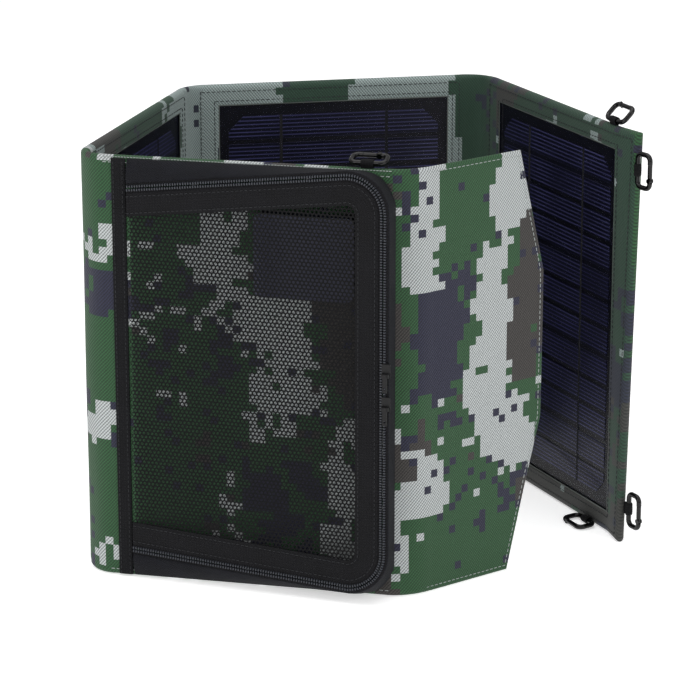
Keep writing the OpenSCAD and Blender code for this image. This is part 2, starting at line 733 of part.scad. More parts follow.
module gate_d_bottom() { at_d_bottom() gate(); }

cover_a();
board_a();
lining_a();
cover_b();
board_b();
backsheet_b();
cells_b();
film_b();
window_b();
cover_c();
board_c();
backsheet_c();
cells_c();
film_c();
window_c();
cover_d();
board_d();
backsheet_d();
cells_d();
film_d();
window_d();
bus_lead_a();
bus_lead_b();
bus_lead_c();
bus_lead_d();
fold_ab();
fold_bc();
fold_cd();
fold_flap();
flap_cover();
flap_lining();
hook_tape();
loop_tape();
pocket_gusset();
pocket_border();
pocket_mesh();
zip_gusset_half();
zip_cover_half();
slider_upper();
slider_lower();
pull_upper();
pull_lower();
controller_base();
controller_lid();
controller_board();
usb_sockets();
loops_a();
loops_d();
hook_a_top();
hook_a_bottom();
hook_d_top();
hook_d_upper();
hook_d_lower();
hook_d_bottom();
gate_a_top();
gate_a_bottom();
gate_d_top();
gate_d_upper();
gate_d_lower();
gate_d_bottom();
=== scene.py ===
"""Folding camouflage solar charger, standing half open on a white sweep."""

import json
import logging
import math
from dataclasses import dataclass, field
from enum import Enum
from functools import cached_property
from typing import Callable, Sequence

import bmesh
import bpy
import numpy as np
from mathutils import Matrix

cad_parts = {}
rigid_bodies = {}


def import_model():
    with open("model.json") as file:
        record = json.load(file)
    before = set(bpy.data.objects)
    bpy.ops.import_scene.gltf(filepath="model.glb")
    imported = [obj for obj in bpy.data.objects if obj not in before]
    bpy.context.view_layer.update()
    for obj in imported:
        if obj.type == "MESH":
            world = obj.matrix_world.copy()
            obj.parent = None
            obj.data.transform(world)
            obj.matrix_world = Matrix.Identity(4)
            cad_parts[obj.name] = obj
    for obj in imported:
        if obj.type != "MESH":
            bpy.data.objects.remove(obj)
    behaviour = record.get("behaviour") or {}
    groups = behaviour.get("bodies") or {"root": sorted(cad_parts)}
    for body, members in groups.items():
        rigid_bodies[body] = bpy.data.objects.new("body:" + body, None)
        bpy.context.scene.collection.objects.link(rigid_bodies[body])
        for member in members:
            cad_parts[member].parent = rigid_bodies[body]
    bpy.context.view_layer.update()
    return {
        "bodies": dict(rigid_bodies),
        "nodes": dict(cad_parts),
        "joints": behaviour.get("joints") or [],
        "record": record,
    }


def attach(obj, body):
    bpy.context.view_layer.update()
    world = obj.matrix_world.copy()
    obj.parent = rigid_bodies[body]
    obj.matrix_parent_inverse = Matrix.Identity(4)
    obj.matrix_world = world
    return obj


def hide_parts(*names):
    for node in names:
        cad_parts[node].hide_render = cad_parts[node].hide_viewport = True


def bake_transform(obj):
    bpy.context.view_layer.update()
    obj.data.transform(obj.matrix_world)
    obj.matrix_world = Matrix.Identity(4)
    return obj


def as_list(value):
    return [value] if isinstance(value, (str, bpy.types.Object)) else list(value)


LOG = logging.getLogger("solar_charger")
MM = 0.001
# The attribute that holds each point's place on the flat-laid cloth, in metres.
CLOTH = "cloth"
# The wave texture makes one band in this share of a unit of its scale.
WAVE_BAND = math.tau / 20
# Edges that turn by more than this stay sharp.
SHARP_DEGREES = 42
Array = np.ndarray
Socket = bpy.types.NodeSocket


# ---------- small tools for finishes ----------


def linear(code: str) -> tuple[float, float, float, float]:
    """Turns an sRGB hex colour to linear light.

    Each channel c is c / 12.92 up to 0.04045, and ((c + 0.055) / 1.055) ** 2.4 above it.

    Args:
        code: six hex digits.

    Returns:
        Red, green, blue and an alpha of 1.
    """
    channels = [int(code[i : i + 2], 16) / 255 for i in (0, 2, 4)]
    red, green, blue = (
        c / 12.92 if c <= 0.04045 else ((c + 0.055) / 1.055) ** 2.4 for c in channels
    )
    return red, green, blue, 1.0


def feed(node: bpy.types.Node, inputs: dict[str | int, object]) -> None:
    """Sets a node's sockets.

    Args:
        node: the node.
        inputs: socket name or number to a value, or to the socket or node that feeds it.
    """
    for name, value in inputs.items():
        if isinstance(value, bpy.types.Node):
            value = value.outputs[0]
        if isinstance(value, Socket):
            node.id_data.links.new(value, node.inputs[name])
        else:
            node.inputs[name].default_value = value


def add(
    tree: bpy.types.NodeTree, kind: str, inputs: dict[str | int, object] | None = None,
    **settings: object,
) -> bpy.types.Node:
    """Adds a node with its settings and links.

    Args:
        tree: the node tree.
        kind: the node's type name, without its prefix.
        inputs: what its sockets hold, as feed takes them.
        settings: the node's own attributes.

    Returns:
        The new node.
    """
    node = tree.nodes.new("ShaderNode" + kind)
    for name, value in settings.items():
        setattr(node, name, value)
    feed(node, inputs or {})
    return node


class Slot(Enum):
    """The record's material slots, passed with each new piece."""

    CAMO = "camo_fabric"
    INNER = "inner_fabric"
    CELL = "solar_cell"
    WEBBING = "webbing"
    MESH = "mesh"
    COIL = "zip_coil"
    BACK = "backsheet"


@dataclass(frozen=True)
class Finish:
    """A finish: its name, its main colour and its gloss."""

    name: str
    colour: str
    roughness: float

    @cached_property
    def material(self) -> bpy.types.Material:
        """The finish's material, built when it is first asked for."""
        return self.build()

    def start(self) -> tuple[bpy.types.Material, bpy.types.NodeTree, bpy.types.Node]:
        """Makes the material with its shader, coloured and roughened.

        Returns:
            The material, its node tree and its shader.
        """
        material = bpy.data.materials.new(self.name)
        material.use_nodes = True
        tree = material.node_tree
        shader = tree.nodes["Principled BSDF"]
        feed(shader, {"Base Color": linear(self.colour), "Roughness": self.roughness})
        return material, tree, shader

    def threads(
        self, tree: bpy.types.NodeTree, place: Socket, pitch: float, turn: float
    ) -> Socket:
        """Parallel threads across a direction.

        Args:
            tree: the node tree.
            place: the coordinates that the threads follow, in metres.
            pitch: the thread spacing in millimetres.
            turn: the turn of the threads in degrees, 0 for upright lines.

        Returns:
            A value from 0 to 1, one swing for each thread.
        """
        turned = add(tree, "Mapping", {"Vector": place, "Rotation": (0, 0, math.radians(turn))})
        loose = {"Distortion": 0.4, "Detail": 1.0, "Detail Scale": 2.0}
        bands = add(
            tree, "TexWave", {"Vector": turned, "Scale": WAVE_BAND / (pitch * MM), **loose}
        )
        return bands.outputs["Fac"]

    def build(self) -> bpy.types.Material:
        """Builds the plain finish."""
        return self.start()[0]


class Ink(Enum):
    """The print's inks, each with its pull on the pale, navy and brown fields."""

    PALE = (1.0, -0.8, -1.0)
    GREEN = (-1.0, -0.8, -1.0)
    NAVY = (-1.0, 1.0, -1.0)
    BROWN = (-1.0, -0.5, 1.0)


@dataclass(frozen=True)
class Patch:
    """A wide patch of one ink on the flat-laid cloth, in millimetres: its middle and its reach."""

    ink: Ink
    along: float
    up: float
    reach_along: float
    reach_up: float
    weight: float = 0.1


PATCHES = (
    Patch(Ink.PALE, 188, 206, 14, 22),
    Patch(Ink.GREEN, 212, 212, 24, 34),
    Patch(Ink.PALE, 246, 216, 17, 26),
    Patch(Ink.PALE, 235, 168, 16, 36, 0.14),
    Patch(Ink.PALE, 227, 118, 16, 26, 0.14),
    Patch(Ink.BROWN, 256, 152, 16, 52, 0.22),
    Patch(Ink.NAVY, 196, 138, 20, 38, 0.16),
    Patch(Ink.PALE, 190, 56, 12, 15, 0.14),
    Patch(Ink.PALE, 244, 88, 20, 34, 0.15),
    Patch(Ink.GREEN, 208, 76, 17, 24),
    Patch(Ink.GREEN, 215, 14, 46, 30, 0.12),
    Patch(Ink.GREEN, -4, 214, 20, 22, 0.12),
    Patch(Ink.PALE, 4, 186, 15, 11),
    Patch(Ink.NAVY, 2, 158, 16, 16, 0.15),
    Patch(Ink.GREEN, 2, 118, 18, 24, 0.12),
    Patch(Ink.PALE, 4, 84, 12, 12),
    Patch(Ink.GREEN, 2, 44, 20, 30, 0.12),
    Patch(Ink.PALE, 8, 14, 12, 12),
    Patch(Ink.PALE, 70, 190, 26, 22),
    Patch(Ink.PALE, 102, 126, 22, 38),
    Patch(Ink.PALE, 140, 76, 16, 20),
    Patch(Ink.PALE, 148, 38, 28, 22),
    Patch(Ink.GREEN, 50, 78, 34, 74),
    Patch(Ink.BROWN, 150, 156, 26, 46, 0.14),
    Patch(Ink.GREEN, 40, 200, 26, 34),
    Patch(Ink.NAVY, 108, 52, 24, 34, 0.14),
    Patch(Ink.GREEN, 112, 212, 40, 20),
    Patch(Ink.BROWN, -40, 226, 22, 16),
    Patch(Ink.GREEN, -96, 226, 44, 18),
    Patch(Ink.PALE, -142, 226, 24, 14),
    Patch(Ink.PALE, -178, 130, 26, 130, 0.15),
    Patch(Ink.PALE, -214, 228, 28, 22, 0.12),
    Patch(Ink.GREEN, -256, 230, 24, 18, 0.12),
    Patch(Ink.PALE, -312, 224, 36, 22, 0.13),
    Patch(Ink.PALE, -338, 160, 12, 60),
    Patch(Ink.GREEN, -356, 130, 17, 140, 0.12),
    Patch(Ink.PALE, -270, 4, 70, 14),
    Patch(Ink.BROWN, -392, 228, 26, 20),
    Patch(Ink.GREEN, -450, 226, 40, 22),
    Patch(Ink.GREEN, -520, 190, 26, 60, 0.12),
    Patch(Ink.NAVY, -526, 110, 22, 36),
    Patch(Ink.BROWN, -528, 44, 22, 50),
    Patch(Ink.BROWN, -440, 4, 90, 18),
)


@dataclass(frozen=True)
class CamoCanvas(Finish):
    """Printed 600-denier polyester canvas: square blocks in four inks on a diagonal twill.

    Each block takes the ink whose field is over its threshold: a noise and the patches' pull.
    A patch pulls with its whole weight inside its core, and falls to nothing at its rim. The
    twill's ridges are 1.3 mm apart, coarser than the real cloth's, so that they show.
    """

    green: str = "28502F"
    navy: str = "24253A"
    brown: str = "3B3836"
    block: float = 4.3
    twill: float = 1.3
    twill_turn: float = 40
    patch_core: float = 0.55
    patch_rim: float = 1.25
    # Painted shade: the share by which the lit print is mixed towards a dark grey-green.
    shade_share: float = 0.0
    shade_colour: str = "2C3A36"

    def fields(self, tree: bpy.types.NodeTree, snap: Socket) -> Socket:
        """The pale, navy and brown fields: three noises plus each patch's falling pull.

        Args:
            tree: the node tree.
            snap: the block's corner on the flat-laid cloth, in metres.

        Returns:
            The three fields as a vector.
        """
        noise = add(
            tree, "TexNoise", {"Vector": snap, "Scale": 30.0, "Detail": 3.0, "Roughness": 0.8}
        )
        total = noise.outputs["Color"]
        for patch in PATCHES:
            spread = 1 / (patch.reach_along * MM), 1 / (patch.reach_up * MM)
            shift = -patch.along * MM * spread[0], -patch.up * MM * spread[1], 0
            offset = add(
                tree, "VectorMath", {0: snap, 1: (*spread, 0), 2: shift}, operation="MULTIPLY_ADD"
            )
            away = add(tree, "VectorMath", {0: offset}, operation="LENGTH").outputs["Value"]
            fall = {"From Min": self.patch_core, "From Max": self.patch_rim}
            pull = add(
                tree, "MapRange", {"Value": away, **fall, "To Min": patch.weight, "To Max": 0.0},
                interpolation_type="SMOOTHSTEP",
            )
            total = add(
                tree, "VectorMath", {0: patch.ink.value, 1: pull, 2: total},
                operation="MULTIPLY_ADD",
            ).outputs[0]
        return total

    def printed(self, tree: bpy.types.NodeTree, place: Socket) -> Socket:
        """The print's colour: blocks of green, with the other inks laid over them in turn.

        Args:
            tree: the node tree.
            place: the point on the flat-laid cloth, in metres.

        Returns:
            The ink's colour, the same all over a block.
        """
        step = self.block * MM
        snap = add(tree, "VectorMath", {0: place, 1: (step, step, 1)}, operation="SNAP")
        middle = add(
            tree, "VectorMath", {0: snap, 1: (step / 2, step / 2, 0)}, operation="ADD"
        ).outputs[0]
        parts = add(tree, "SeparateXYZ", {0: self.fields(tree, middle)})
        chance = add(tree, "TexWhiteNoise", {"Vector": middle})
        other = add(tree, "SeparateXYZ", {0: chance.outputs["Color"]})
        ink: object = linear(self.green)
        # Each layer's field, the threshold that it has to pass, and its ink.
        layers = (
            (parts.outputs["Y"], 0.56, self.navy),
            (parts.outputs["Z"], 0.57, self.brown),
            (parts.outputs["X"], 0.53, self.colour),
            (chance.outputs["Value"], 0.965, self.colour),
            (other.outputs["X"], 0.965, self.navy),
        )
        for field_value, threshold, code in layers:
            over = add(tree, "Math", {0: field_value, 1: threshold}, operation="GREATER_THAN")
            ink = add(
                tree, "Mix", {0: over, 6: ink, 7: linear(code)}, data_type="RGBA"
            ).outputs[2]
        return ink

    def build(self) -> bpy.types.Material:
        """Lays the twill over the print: dark between its ridges, and broken across them.

        Returns:
            The material.
        """
        material, tree, shader = self.start()
        place = add(tree, "Attribute", attribute_name=CLOTH).outputs["Vector"]
        ink = self.printed(tree, place)
        ribs = self.threads(tree, place, self.twill, self.twill_turn)
        across = self.threads(tree, place, self.twill, self.twill_turn - 90)
        woven = add(tree, "Math", {0: across, 1: 0.35, 2: ribs}, operation="MULTIPLY_ADD")
        shade = add(
            tree, "MapRange", {"Value": woven, "From Max": 1.35, "To Min": 0.28, "To Max": 1.3}
        )
        lit: object = add(tree, "VectorMath", {0: ink, "Scale": shade}, operation="SCALE")
        # Painted shade: the lit print mixed part of the way towards a dark grey-green.
        if self.shade_share:
            shaded_inputs = {0: self.shade_share, 6: lit, 7: linear(self.shade_colour)}
            lit = add(tree, "Mix", shaded_inputs, data_type="RGBA").outputs[2]
        bump = add(tree, "Bump", {"Height": woven, "Strength": 0.45, "Distance": 0.0003})
        feed(shader, {"Base Color": lit, "Normal": bump, "Sheen Weight": 0.08})
        return material


@dataclass(frozen=True)
class Woven(Finish):
    """Plain nylon weave: ribs across the band, with a little uneven wear."""

    pitch: float = 1.4
    turn: float = 0.0
    contrast: float = 0.35

    def build(self) -> bpy.types.Material:
        """Ribs in colour and relief, and a soft cloud over them.

        Returns:
            The material.
        """
        material, tree, shader = self.start()
        place = add(tree, "Attribute", attribute_name=CLOTH).outputs["Vector"]
        ribs = self.threads(tree, place, self.pitch, self.turn)
        across = self.threads(tree, place, self.pitch, self.turn + 90)
        weave = add(tree, "Math", {0: ribs, 1: across}, operation="MULTIPLY")
        cloud = add(tree, "TexNoise", {"Vector": place, "Scale": 60.0, "Detail": 2.0})
        worn = add(
            tree, "Math", {0: weave, 1: self.contrast, 2: cloud.outputs["Fac"]},
            operation="MULTIPLY_ADD",
        )
        shade = add(tree, "MapRange", {"Value": worn, "To Min": 0.2, "To Max": 1.9})
        tone = add(
            tree, "VectorMath", {0: linear(self.colour)[:3], "Scale": shade}, operation="SCALE"
        )
        bump = add(tree, "Bump", {"Height": weave, "Strength": 0.8, "Distance": 0.0005})
        feed(shader, {"Base Color": tone, "Normal": bump, "Specular IOR Level": 0.25})
        return material


@dataclass(frozen=True)
class MonoSilicon(Finish):
    """Monocrystalline silicon: a dark blue-black wafer with fine printed silver fingers.

    The fingers are 2.26 mm apart. A real one is about 0.1 mm wide, and these are drawn 0.7 mm
    wide, so that they show.
    """

    finger: float = 2.26
    finger_share: float = 0.3
    finger_colour: str = "54558A"

    def build(self) -> bpy.types.Material:
        """Fingers are level lines at their pitch up each upright panel.

        Returns:
            The material.
        """
        material, tree, shader = self.start()
        place = add(tree, "TexCoord").outputs["Object"]
        height = add(tree, "SeparateXYZ", {0: place}).outputs["Z"]
        count = add(tree, "Math", {0: height, 1: self.finger * MM}, operation="DIVIDE")
        part = add(tree, "Math", {0: count}, operation="FRACT")
        line = add(tree, "Math", {0: part, 1: self.finger_share}, operation="LESS_THAN")
        cloud = add(tree, "TexNoise", {"Vector": place, "Scale": 25.0})
        share = add(tree, "Math", {0: line, 1: cloud.outputs["Fac"]}, operation="MULTIPLY")
        mix = add(
            tree, "Mix", {0: share, 6: linear(self.colour), 7: linear(self.finger_colour)},
            data_type="RGBA",
        )
        feed(shader, {"Base Color": mix.outputs[2], "Specular IOR Level": 0.2})
        return material


@dataclass(frozen=True)
class Moulded(Finish):
    """Moulded or coated: an even colour with a fine grain in its gloss."""

    grain: float = 0.6
    metallic: float = 0.0
    coat: float = 0.0
    alpha: float = 1.0
    specular: float = 0.5

    def build(self) -> bpy.types.Material:
        """A fine noise at the grain's size moves roughness and relief.

        Returns:
            The material.
        """
        material, tree, shader = self.start()
        place = add(tree, "TexCoord").outputs["Object"]
        grain = add(
            tree, "TexNoise", {"Vector": place, "Scale": 1 / (self.grain * MM), "Detail": 2.0}
        ).outputs["Fac"]
        low, high = max(0.03, self.roughness - 0.1), min(1.0, self.roughness + 0.1)
        rough = add(tree, "MapRange", {"Value": grain, "To Min": low, "To Max": high})
        bump = add(tree, "Bump", {"Height": grain, "Strength": 0.12, "Distance": 0.0001})
        feed(shader, {
            "Roughness": rough, "Normal": bump, "Metallic": self.metallic,
            "Coat Weight": self.coat, "Alpha": self.alpha, "Specular IOR Level": self.specular,
        })
        return material


@dataclass(frozen=True)
class Finishes:
    """Every finish of the charger, each with what it gives the eye."""

    # Dull cloth with a diagonal rib: blocks of green, pale grey, navy and brown.
    camo: Finish = CamoCanvas("printed polyester canvas", "B2B7B7", 0.85)
    # The same cloth with painted shade, for the faces between the panels: cooler and darker, with
    # less contrast.
    camo_painted_shade: Finish = CamoCanvas(
        "printed polyester canvas, painted shade", "9AA8A6", 0.82, green="234431", shade_share=0.2
    )
    # Near-black with fine ribs across the band, and no shine.
    webbing: Finish = Woven("woven nylon webbing", "08080B", 0.85, pitch=1.5, contrast=0.7)
    # Blue-black, smoother than the webbing, with a fine diagonal weave.
    gusset: Finish = Woven("coated nylon oxford", "090A11", 0.8, pitch=1.2, turn=45, contrast=0.5)
    # Dull black threads that only darken what lies behind them.
    net: Finish = Woven("warp-knitted nylon net", "050507", 0.85, pitch=0.8)
    # Fuzzy black that takes the light evenly.
    tape: Finish = Woven("hook and loop tape", "0B0B0D", 0.95, pitch=1.2)
    # Short pale dashes on the print.
    thread_pale: Finish = Moulded("grey polyester thread", "959B99", 0.8)
    # Dashes that show as small dents in black cloth and as dark specks on the print.
    thread_dark: Finish = Moulded("dark polyester thread", "1A1C20", 0.7)
    # Blue-black strips with fine lavender lines.
    silicon: Finish = MonoSilicon("monocrystalline silicon", "0E0F1C", 0.35)
    # Thin black uprights that cut the strips' lines.
    ribbon: Finish = Moulded("dark tinned ribbon", "05050A", 0.9)
    # A clear coat that lays a weak, spread-out gleam over the cells.
    film: Finish = Moulded(
        "matt fluoropolymer film", "1A1C30", 0.55, grain=3.0, alpha=0.08, specular=0.2
    )
    # Even black between the strips and round them.
    back: Finish = Moulded("black laminate backsheet", "08080E", 0.4, specular=0.25)
    # Painted highlight: a thin pale grey line along the inside of each window, where the frame's
    # inner edge catches the light.
    edge_highlight: Finish = Moulded("painted edge highlight", "5A605C", 0.5)
    # Dark grey teeth with small highlights.
    coil: Finish = Moulded("nylon zip coil", "34373E", 0.3)
    # Black with a half-gloss on its edges.
    zinc: Finish = Moulded("black lacquered zinc", "09090B", 0.5, specular=0.3)
    # Deep black with narrow, sharp highlights along the bars.
    steel: Finish = Moulded("gloss black lacquered steel", "030304", 0.2, coat=0.1, specular=0.3)
    # Dark navy plastic with a fine grain, seen dimly through the net.
    case: Finish = Moulded("moulded navy abs", "20233A", 0.45)
    # Bright pale metal in the sockets' mouths.
    nickel: Finish = Moulded("nickel plate", "B8B8B4", 0.3, metallic=1.0)
    # Glossy dark green.
    board: Finish = Moulded("green solder resist", "12402A", 0.3)
    # Warm, slightly dull metal.
    copper: Finish = Moulded("tinned copper", "B08A5A", 0.35, metallic=1.0)
    # Smooth dark grey sheet.
    stiff: Finish = Moulded("polypropylene board", "1C1C1C", 0.6)


# ---------- places ----------


@dataclass(frozen=True)
class Plane:
    """A panel's own frame: s along it, y through it towards its inner side, z up, in millimetres.

    pivot is the point of the whole charger that lies at (pivot_s, pivot_y), turn is the panel's
    heading in degrees, and cloth_s is where its s = 0 lies on the flat-laid cloth.
    """

    pivot: tuple[float, float]
    pivot_s: float
    pivot_y: float
    turn: float
    cloth_s: float

    def at(self, s: Array, y: Array, z: Array) -> Array:
        """Places points: pivot + turn(s - pivot_s, y - pivot_y), with z up, in metres.

        Args:
            s: distances along the panel.
            y: distances through it.
            z: heights.

        Returns:
            An array of points, one row for each.
        """
        s, y, z = np.broadcast_arrays(np.asarray(s, float), y, z)
        a = math.radians(self.turn)
        ds, dy = s - self.pivot_s, y - self.pivot_y
        x = self.pivot[0] + ds * math.cos(a) - dy * math.sin(a)
        return np.stack([x, self.pivot[1] + ds * math.sin(a) + dy * math.cos(a), z], -1) * MM

    def way(self, s: float, y: float) -> Array:
        """The direction of a step of one millimetre along (s) or through (y) the panel."""
        return (self.at(s, y, 0) - self.at(0, 0, 0)) / MM

    def cloth(self, s: Array, z: Array) -> Array:
        """The cloth coordinates of points at s and z, in metres on the flat-laid cloth."""
        s, z = np.broadcast_arrays(np.asarray(s, float), z)
        return np.stack([(s + self.cloth_s) * MM, z * MM, np.zeros_like(s)], -1)


@dataclass(frozen=True)
class Sizes:
    """The charger's main sizes in millimetres, and the turns of its folds at rest in degrees."""

    width: float = 178
    height: float = 235
    half: float = 3.0
    reach: float = 11.0
    window_s: float = 20.5
    window_z: float = 12.0
    ribbon_pitch: float = 63.0
    free_s: float = 3.0
    turn_b: float = -92.8
    turn_c: float = -155.8
    turn_d: float = -231.8
    turn_flap: float = 51.0


def joint_place(frame: dict, name: str) -> tuple[float, float]:
    """The plan position of a joint of the frame, in millimetres."""
    found = next(j for j in frame["joints"] if j["name"] == name)
    return found["pos_m"][0] / MM, found["pos_m"][1] / MM


@dataclass(frozen=True)
class Places:
    """The frames of the four panels and the flap."""

    a: Plane
    b: Plane
    c: Plane
    d: Plane
    flap: Plane

    @classmethod
    def of(cls, frame: dict, sizes: Sizes) -> "Places":
        """Works out each panel's frame from the joint that carries it.

        Args:
            frame: the loaded frame, with its joints.
            sizes: the charger's sizes and the turns of its folds.

        Returns:
            The five frames.
        """
        w = sizes.width
        return cls(
            a=Plane((-w / 2, 0.0), 0, 0, 0, 0),
            b=Plane(joint_place(frame, "fold_ab"), w, sizes.half, sizes.turn_b, -w),
            c=Plane(joint_place(frame, "fold_bc"), w, -sizes.half, sizes.turn_c, -2 * w),
            d=Plane(joint_place(frame, "fold_cd"), w, sizes.half, sizes.turn_d, -3 * w),
            flap=Plane(joint_place(frame, "fold_flap"), 0, 0, sizes.turn_flap, w),
        )


# ---------- meshes ----------


def make_piece(
    name: str,
    points: Array,
    faces: Array | Sequence[Sequence[int]],
    cloth: Array | None,
    finish: Finish,
    slot: Slot,
    merge: float = 0.0,
) -> bpy.types.Object:
    """Makes a piece from points and faces.

    Args:
        name: the piece's name.
        points: its points in metres.
        faces: rows of point numbers.
        cloth: cloth coordinates for each point, or None to use the points.
        finish: its finish.
        slot: the record's slot; not used.
        merge: points closer than this are joined, in metres.

    Returns:
        The piece, linked to the scene, with faces outwards.
    """
    mesh = bpy.data.meshes.new(name)
    points = np.asarray(points, float).reshape(-1, 3)
    rows = faces.tolist() if isinstance(faces, np.ndarray) else [list(f) for f in faces]
    mesh.from_pydata(points.tolist(), [], rows)
    attribute = mesh.attributes.new(CLOTH, "FLOAT_VECTOR", "POINT")
    values = points if cloth is None else np.asarray(cloth, float).reshape(-1, 3)
    attribute.data.foreach_set("vector", values.astype(np.float32).ravel())
    made = bmesh.new()
    made.from_mesh(mesh)
    if merge:
        bmesh.ops.remove_doubles(made, verts=made.verts, dist=merge)
    bmesh.ops.recalc_face_normals(made, faces=made.faces)
    made.to_mesh(mesh)
    made.free()
    mesh.materials.append(finish.material)
    mesh.shade_smooth()
    mesh.set_sharp_from_angle(angle=math.radians(SHARP_DEGREES))
    piece = bpy.data.objects.new(name, mesh)
    bpy.context.scene.collection.objects.link(piece)
    LOG.info("%s: %d faces", name, len(mesh.polygons))
    return piece


def grid_faces(rows: int, columns: int, around: bool = False, start: int = 0) -> Array:
    """Four-sided faces of a grid of points.

    Args:
        rows: points one way.
        columns: points the other way.
        around: whether the last column meets the first.
        start: the number of the grid's first point.

    Returns:
        Rows of four point numbers.
    """
    number = np.arange(rows * columns).reshape(rows, columns) + start
    if around:
        number = np.concatenate([number, number[:, :1]], 1)
    return np.stack(
        [number[:-1, :-1], number[:-1, 1:], number[1:, 1:], number[1:, :-1]], -1
    ).reshape(-1, 4)


def capped(rows: int, columns: int) -> list[list[int]]:
    """The faces of a grid that is closed across its columns, with a flat cap at each end.

    Args:
        rows: points one way.
        columns: points the other way.

    Returns:
        Lists of point numbers.
    """
    first = list(range(columns))
    last = [(rows - 1) * columns + k for k in first]
    return grid_faces(rows, columns, True).tolist() + [first[::-1], last]


@dataclass(frozen=True)
class Ring:
    """A rectangle on a panel: insets from its ends and from its bottom and top, and its y."""

    left: float
    right: float
    up: float
    y: float


Sag = Callable[[Array, Array], Array]


def ring_shell(
    plane: Plane, rings: Sequence[Ring], ends: tuple[float, float], height: float, sag: Sag,
    fill: tuple[bool, bool], counts: tuple[int, int] = (36, 44), curl: Sag | None = None,
) -> tuple[Array, Array, Array]:
    """A shell carried along rectangles: point = rectangle k at share t, y = y_k + sag(s, z).

    Args:
        plane: the panel's frame.
        rings: the rectangles, from the inner side over the edge to the outer side.
        ends: the panel's ends along s.
        height: the panel's height.
        sag: the cloth's own small relief, in millimetres.
        fill: whether the first and the last rectangle are filled.
        counts: points along s and z.
        curl: a shift of both faces along y, in millimetres.

    Returns:
        Points, faces and cloth coordinates.
    """
    across, up = (np.linspace(0, 1, n + 1) for n in counts)
    rim_s = np.concatenate([across, np.ones(counts[1]), across[-2::-1], np.zeros(counts[1] - 1)])
    rim_z = np.concatenate([np.zeros(counts[0]), up, np.ones(counts[0]), up[-2:0:-1]])
    s_all, y_all, z_all = [], [], []
    for ring in rings:
        s0, s1 = ends[0] + ring.left, ends[1] - ring.right
        s_all.append(s0 + (s1 - s0) * rim_s)
        z_all.append(ring.up + (height - 2 * ring.up) * rim_z)
        y_all.append(np.full_like(rim_s, ring.y))
    faces = [grid_faces(len(rings), len(rim_s), True)]
    used = len(rings) * len(rim_s)
    for ring, wanted in ((rings[0], fill[0]), (rings[-1], fill[1])):
        if not wanted:
            continue
        s0, s1 = ends[0] + ring.left, ends[1] - ring.right
        grid_s, grid_z = np.meshgrid(
            s0 + (s1 - s0) * across, ring.up + (height - 2 * ring.up) * up, indexing="ij"
        )
        s_all.append(grid_s.ravel())
        z_all.append(grid_z.ravel())
        y_all.append(np.full(grid_s.size, ring.y))
        faces.append(grid_faces(counts[0] + 1, counts[1] + 1, False, used))
        used += grid_s.size
    s, y, z = np.concatenate(s_all), np.concatenate(y_all), np.concatenate(z_all)
    y = y + sag(s, z) * np.sign(y) + (curl(s, z) if curl else 0.0)
    return plane.at(s, y, z), np.concatenate(faces), plane.cloth(s, z)


def rounded_edge(half: float) -> list[Ring]:
    """A half circle over a panel's edge: inset = half (1 - cos p), y = half sin p.

    Args:
        half: half the panel's thickness.

    Returns:
        Rectangles for p from 90 down to -90 degrees.
    """
    insets = [
        (half * (1 - math.cos(p)), half * math.sin(p))
        for p in np.linspace(math.pi / 2, -math.pi / 2, 7)
    ]
    return [Ring(inset, inset, inset, y) for inset, y in insets]


def tube_along(line: Array, side: Array, up: Array, profile: Array) -> tuple[Array, list]:
    """A profile carried along a path: point = line_i + profile_k,0 side_i + profile_k,1 up_i.

    Args:
        line: the path's points.
        side: a unit vector across the path at each point.
        up: a second unit vector across it.
        profile: the closed profile's points, two numbers each.

    Returns:
        Points and faces, with flat caps at both ends.
    """
    points = (
        line[:, None]
        + profile[None, :, :1] * side[:, None]
        + profile[None, :, 1:] * up[:, None]
    )
    return points.reshape(-1, 3), capped(*points.shape[:2])


def repeated(unit: Array, faces: Array, spots: Array, axes: Array) -> tuple[Array, Array]:
    """Copies of a small shape: copy i = spot_i + unit . axes_i.

    Args:
        unit: the shape's points.
        faces: its faces.
        spots: where each copy goes.
        axes: three unit vectors for each copy.

    Returns:
        All points and faces.
    """
    points = spots[:, None] + np.einsum("kj,ijc->ikc", unit, axes)
    numbers = faces[None] + (np.arange(len(spots)) * len(unit))[:, None, None]
    return points.reshape(-1, 3), numbers.reshape(-1, faces.shape[1])


BRICK_FACES = np.array(
    [[0, 3, 2, 1], [4, 5, 6, 7], [0, 1, 5, 4], [1, 2, 6, 5], [2, 3, 7, 6], [3, 0, 4, 7]]
)


def brick(length: float, width: float, rise: float, taper: float = 0.6) -> Array:
    """A small pillow-shaped brick: a base of length by width, and a top taper times as large.

    Args:
        length: its length in millimetres.
        width: its width in millimetres.
        rise: its height in millimetres.
        taper: the top's share of the base.

    Returns:
        Eight points in metres.
    """
    base = np.array([[-1, -1], [1, -1], [1, 1], [-1, 1]]) / 2
    low = np.column_stack([base * (length, width), np.zeros(4)])
    high = np.column_stack([base * (length * taper, width * taper), np.full(4, rise)])
    return np.concatenate([low, high]) * MM


def run_of(line: Array) -> Array:
    """The distance along a path to each of its points."""
    legs = np.linalg.norm(np.diff(line, axis=0), axis=1)
    return np.concatenate([[0], np.cumsum(legs)])


def cloth_of(u: Array, v: Array) -> Array:
    """Cloth coordinates of a grid: row i lies at u_i and column k at v_k, in metres."""
    return np.stack(np.broadcast_arrays(u[:, None], v[None], 0.0), -1)


def along(line: Array, step: float, start: float = 0.0) -> tuple[Array, Array]:
    """Even places on a path.

    Args:
        line: the path's points in metres.
        step: the spacing in millimetres.
        start: the first place, in millimetres from the path's start.

    Returns:
        The places and the path's direction at each.
    """
    total = run_of(line)
    spots = np.arange(start * MM, total[-1], step * MM)
    near = 0.1 * MM
    points, ahead, behind = (
        np.stack([np.interp(spots + shift, total, line[:, k]) for k in range(3)], -1)
        for shift in (0.0, near, -near)
    )
    way = ahead - behind
    return points, way / np.maximum(np.linalg.norm(way, axis=1, keepdims=True), 1e-12)


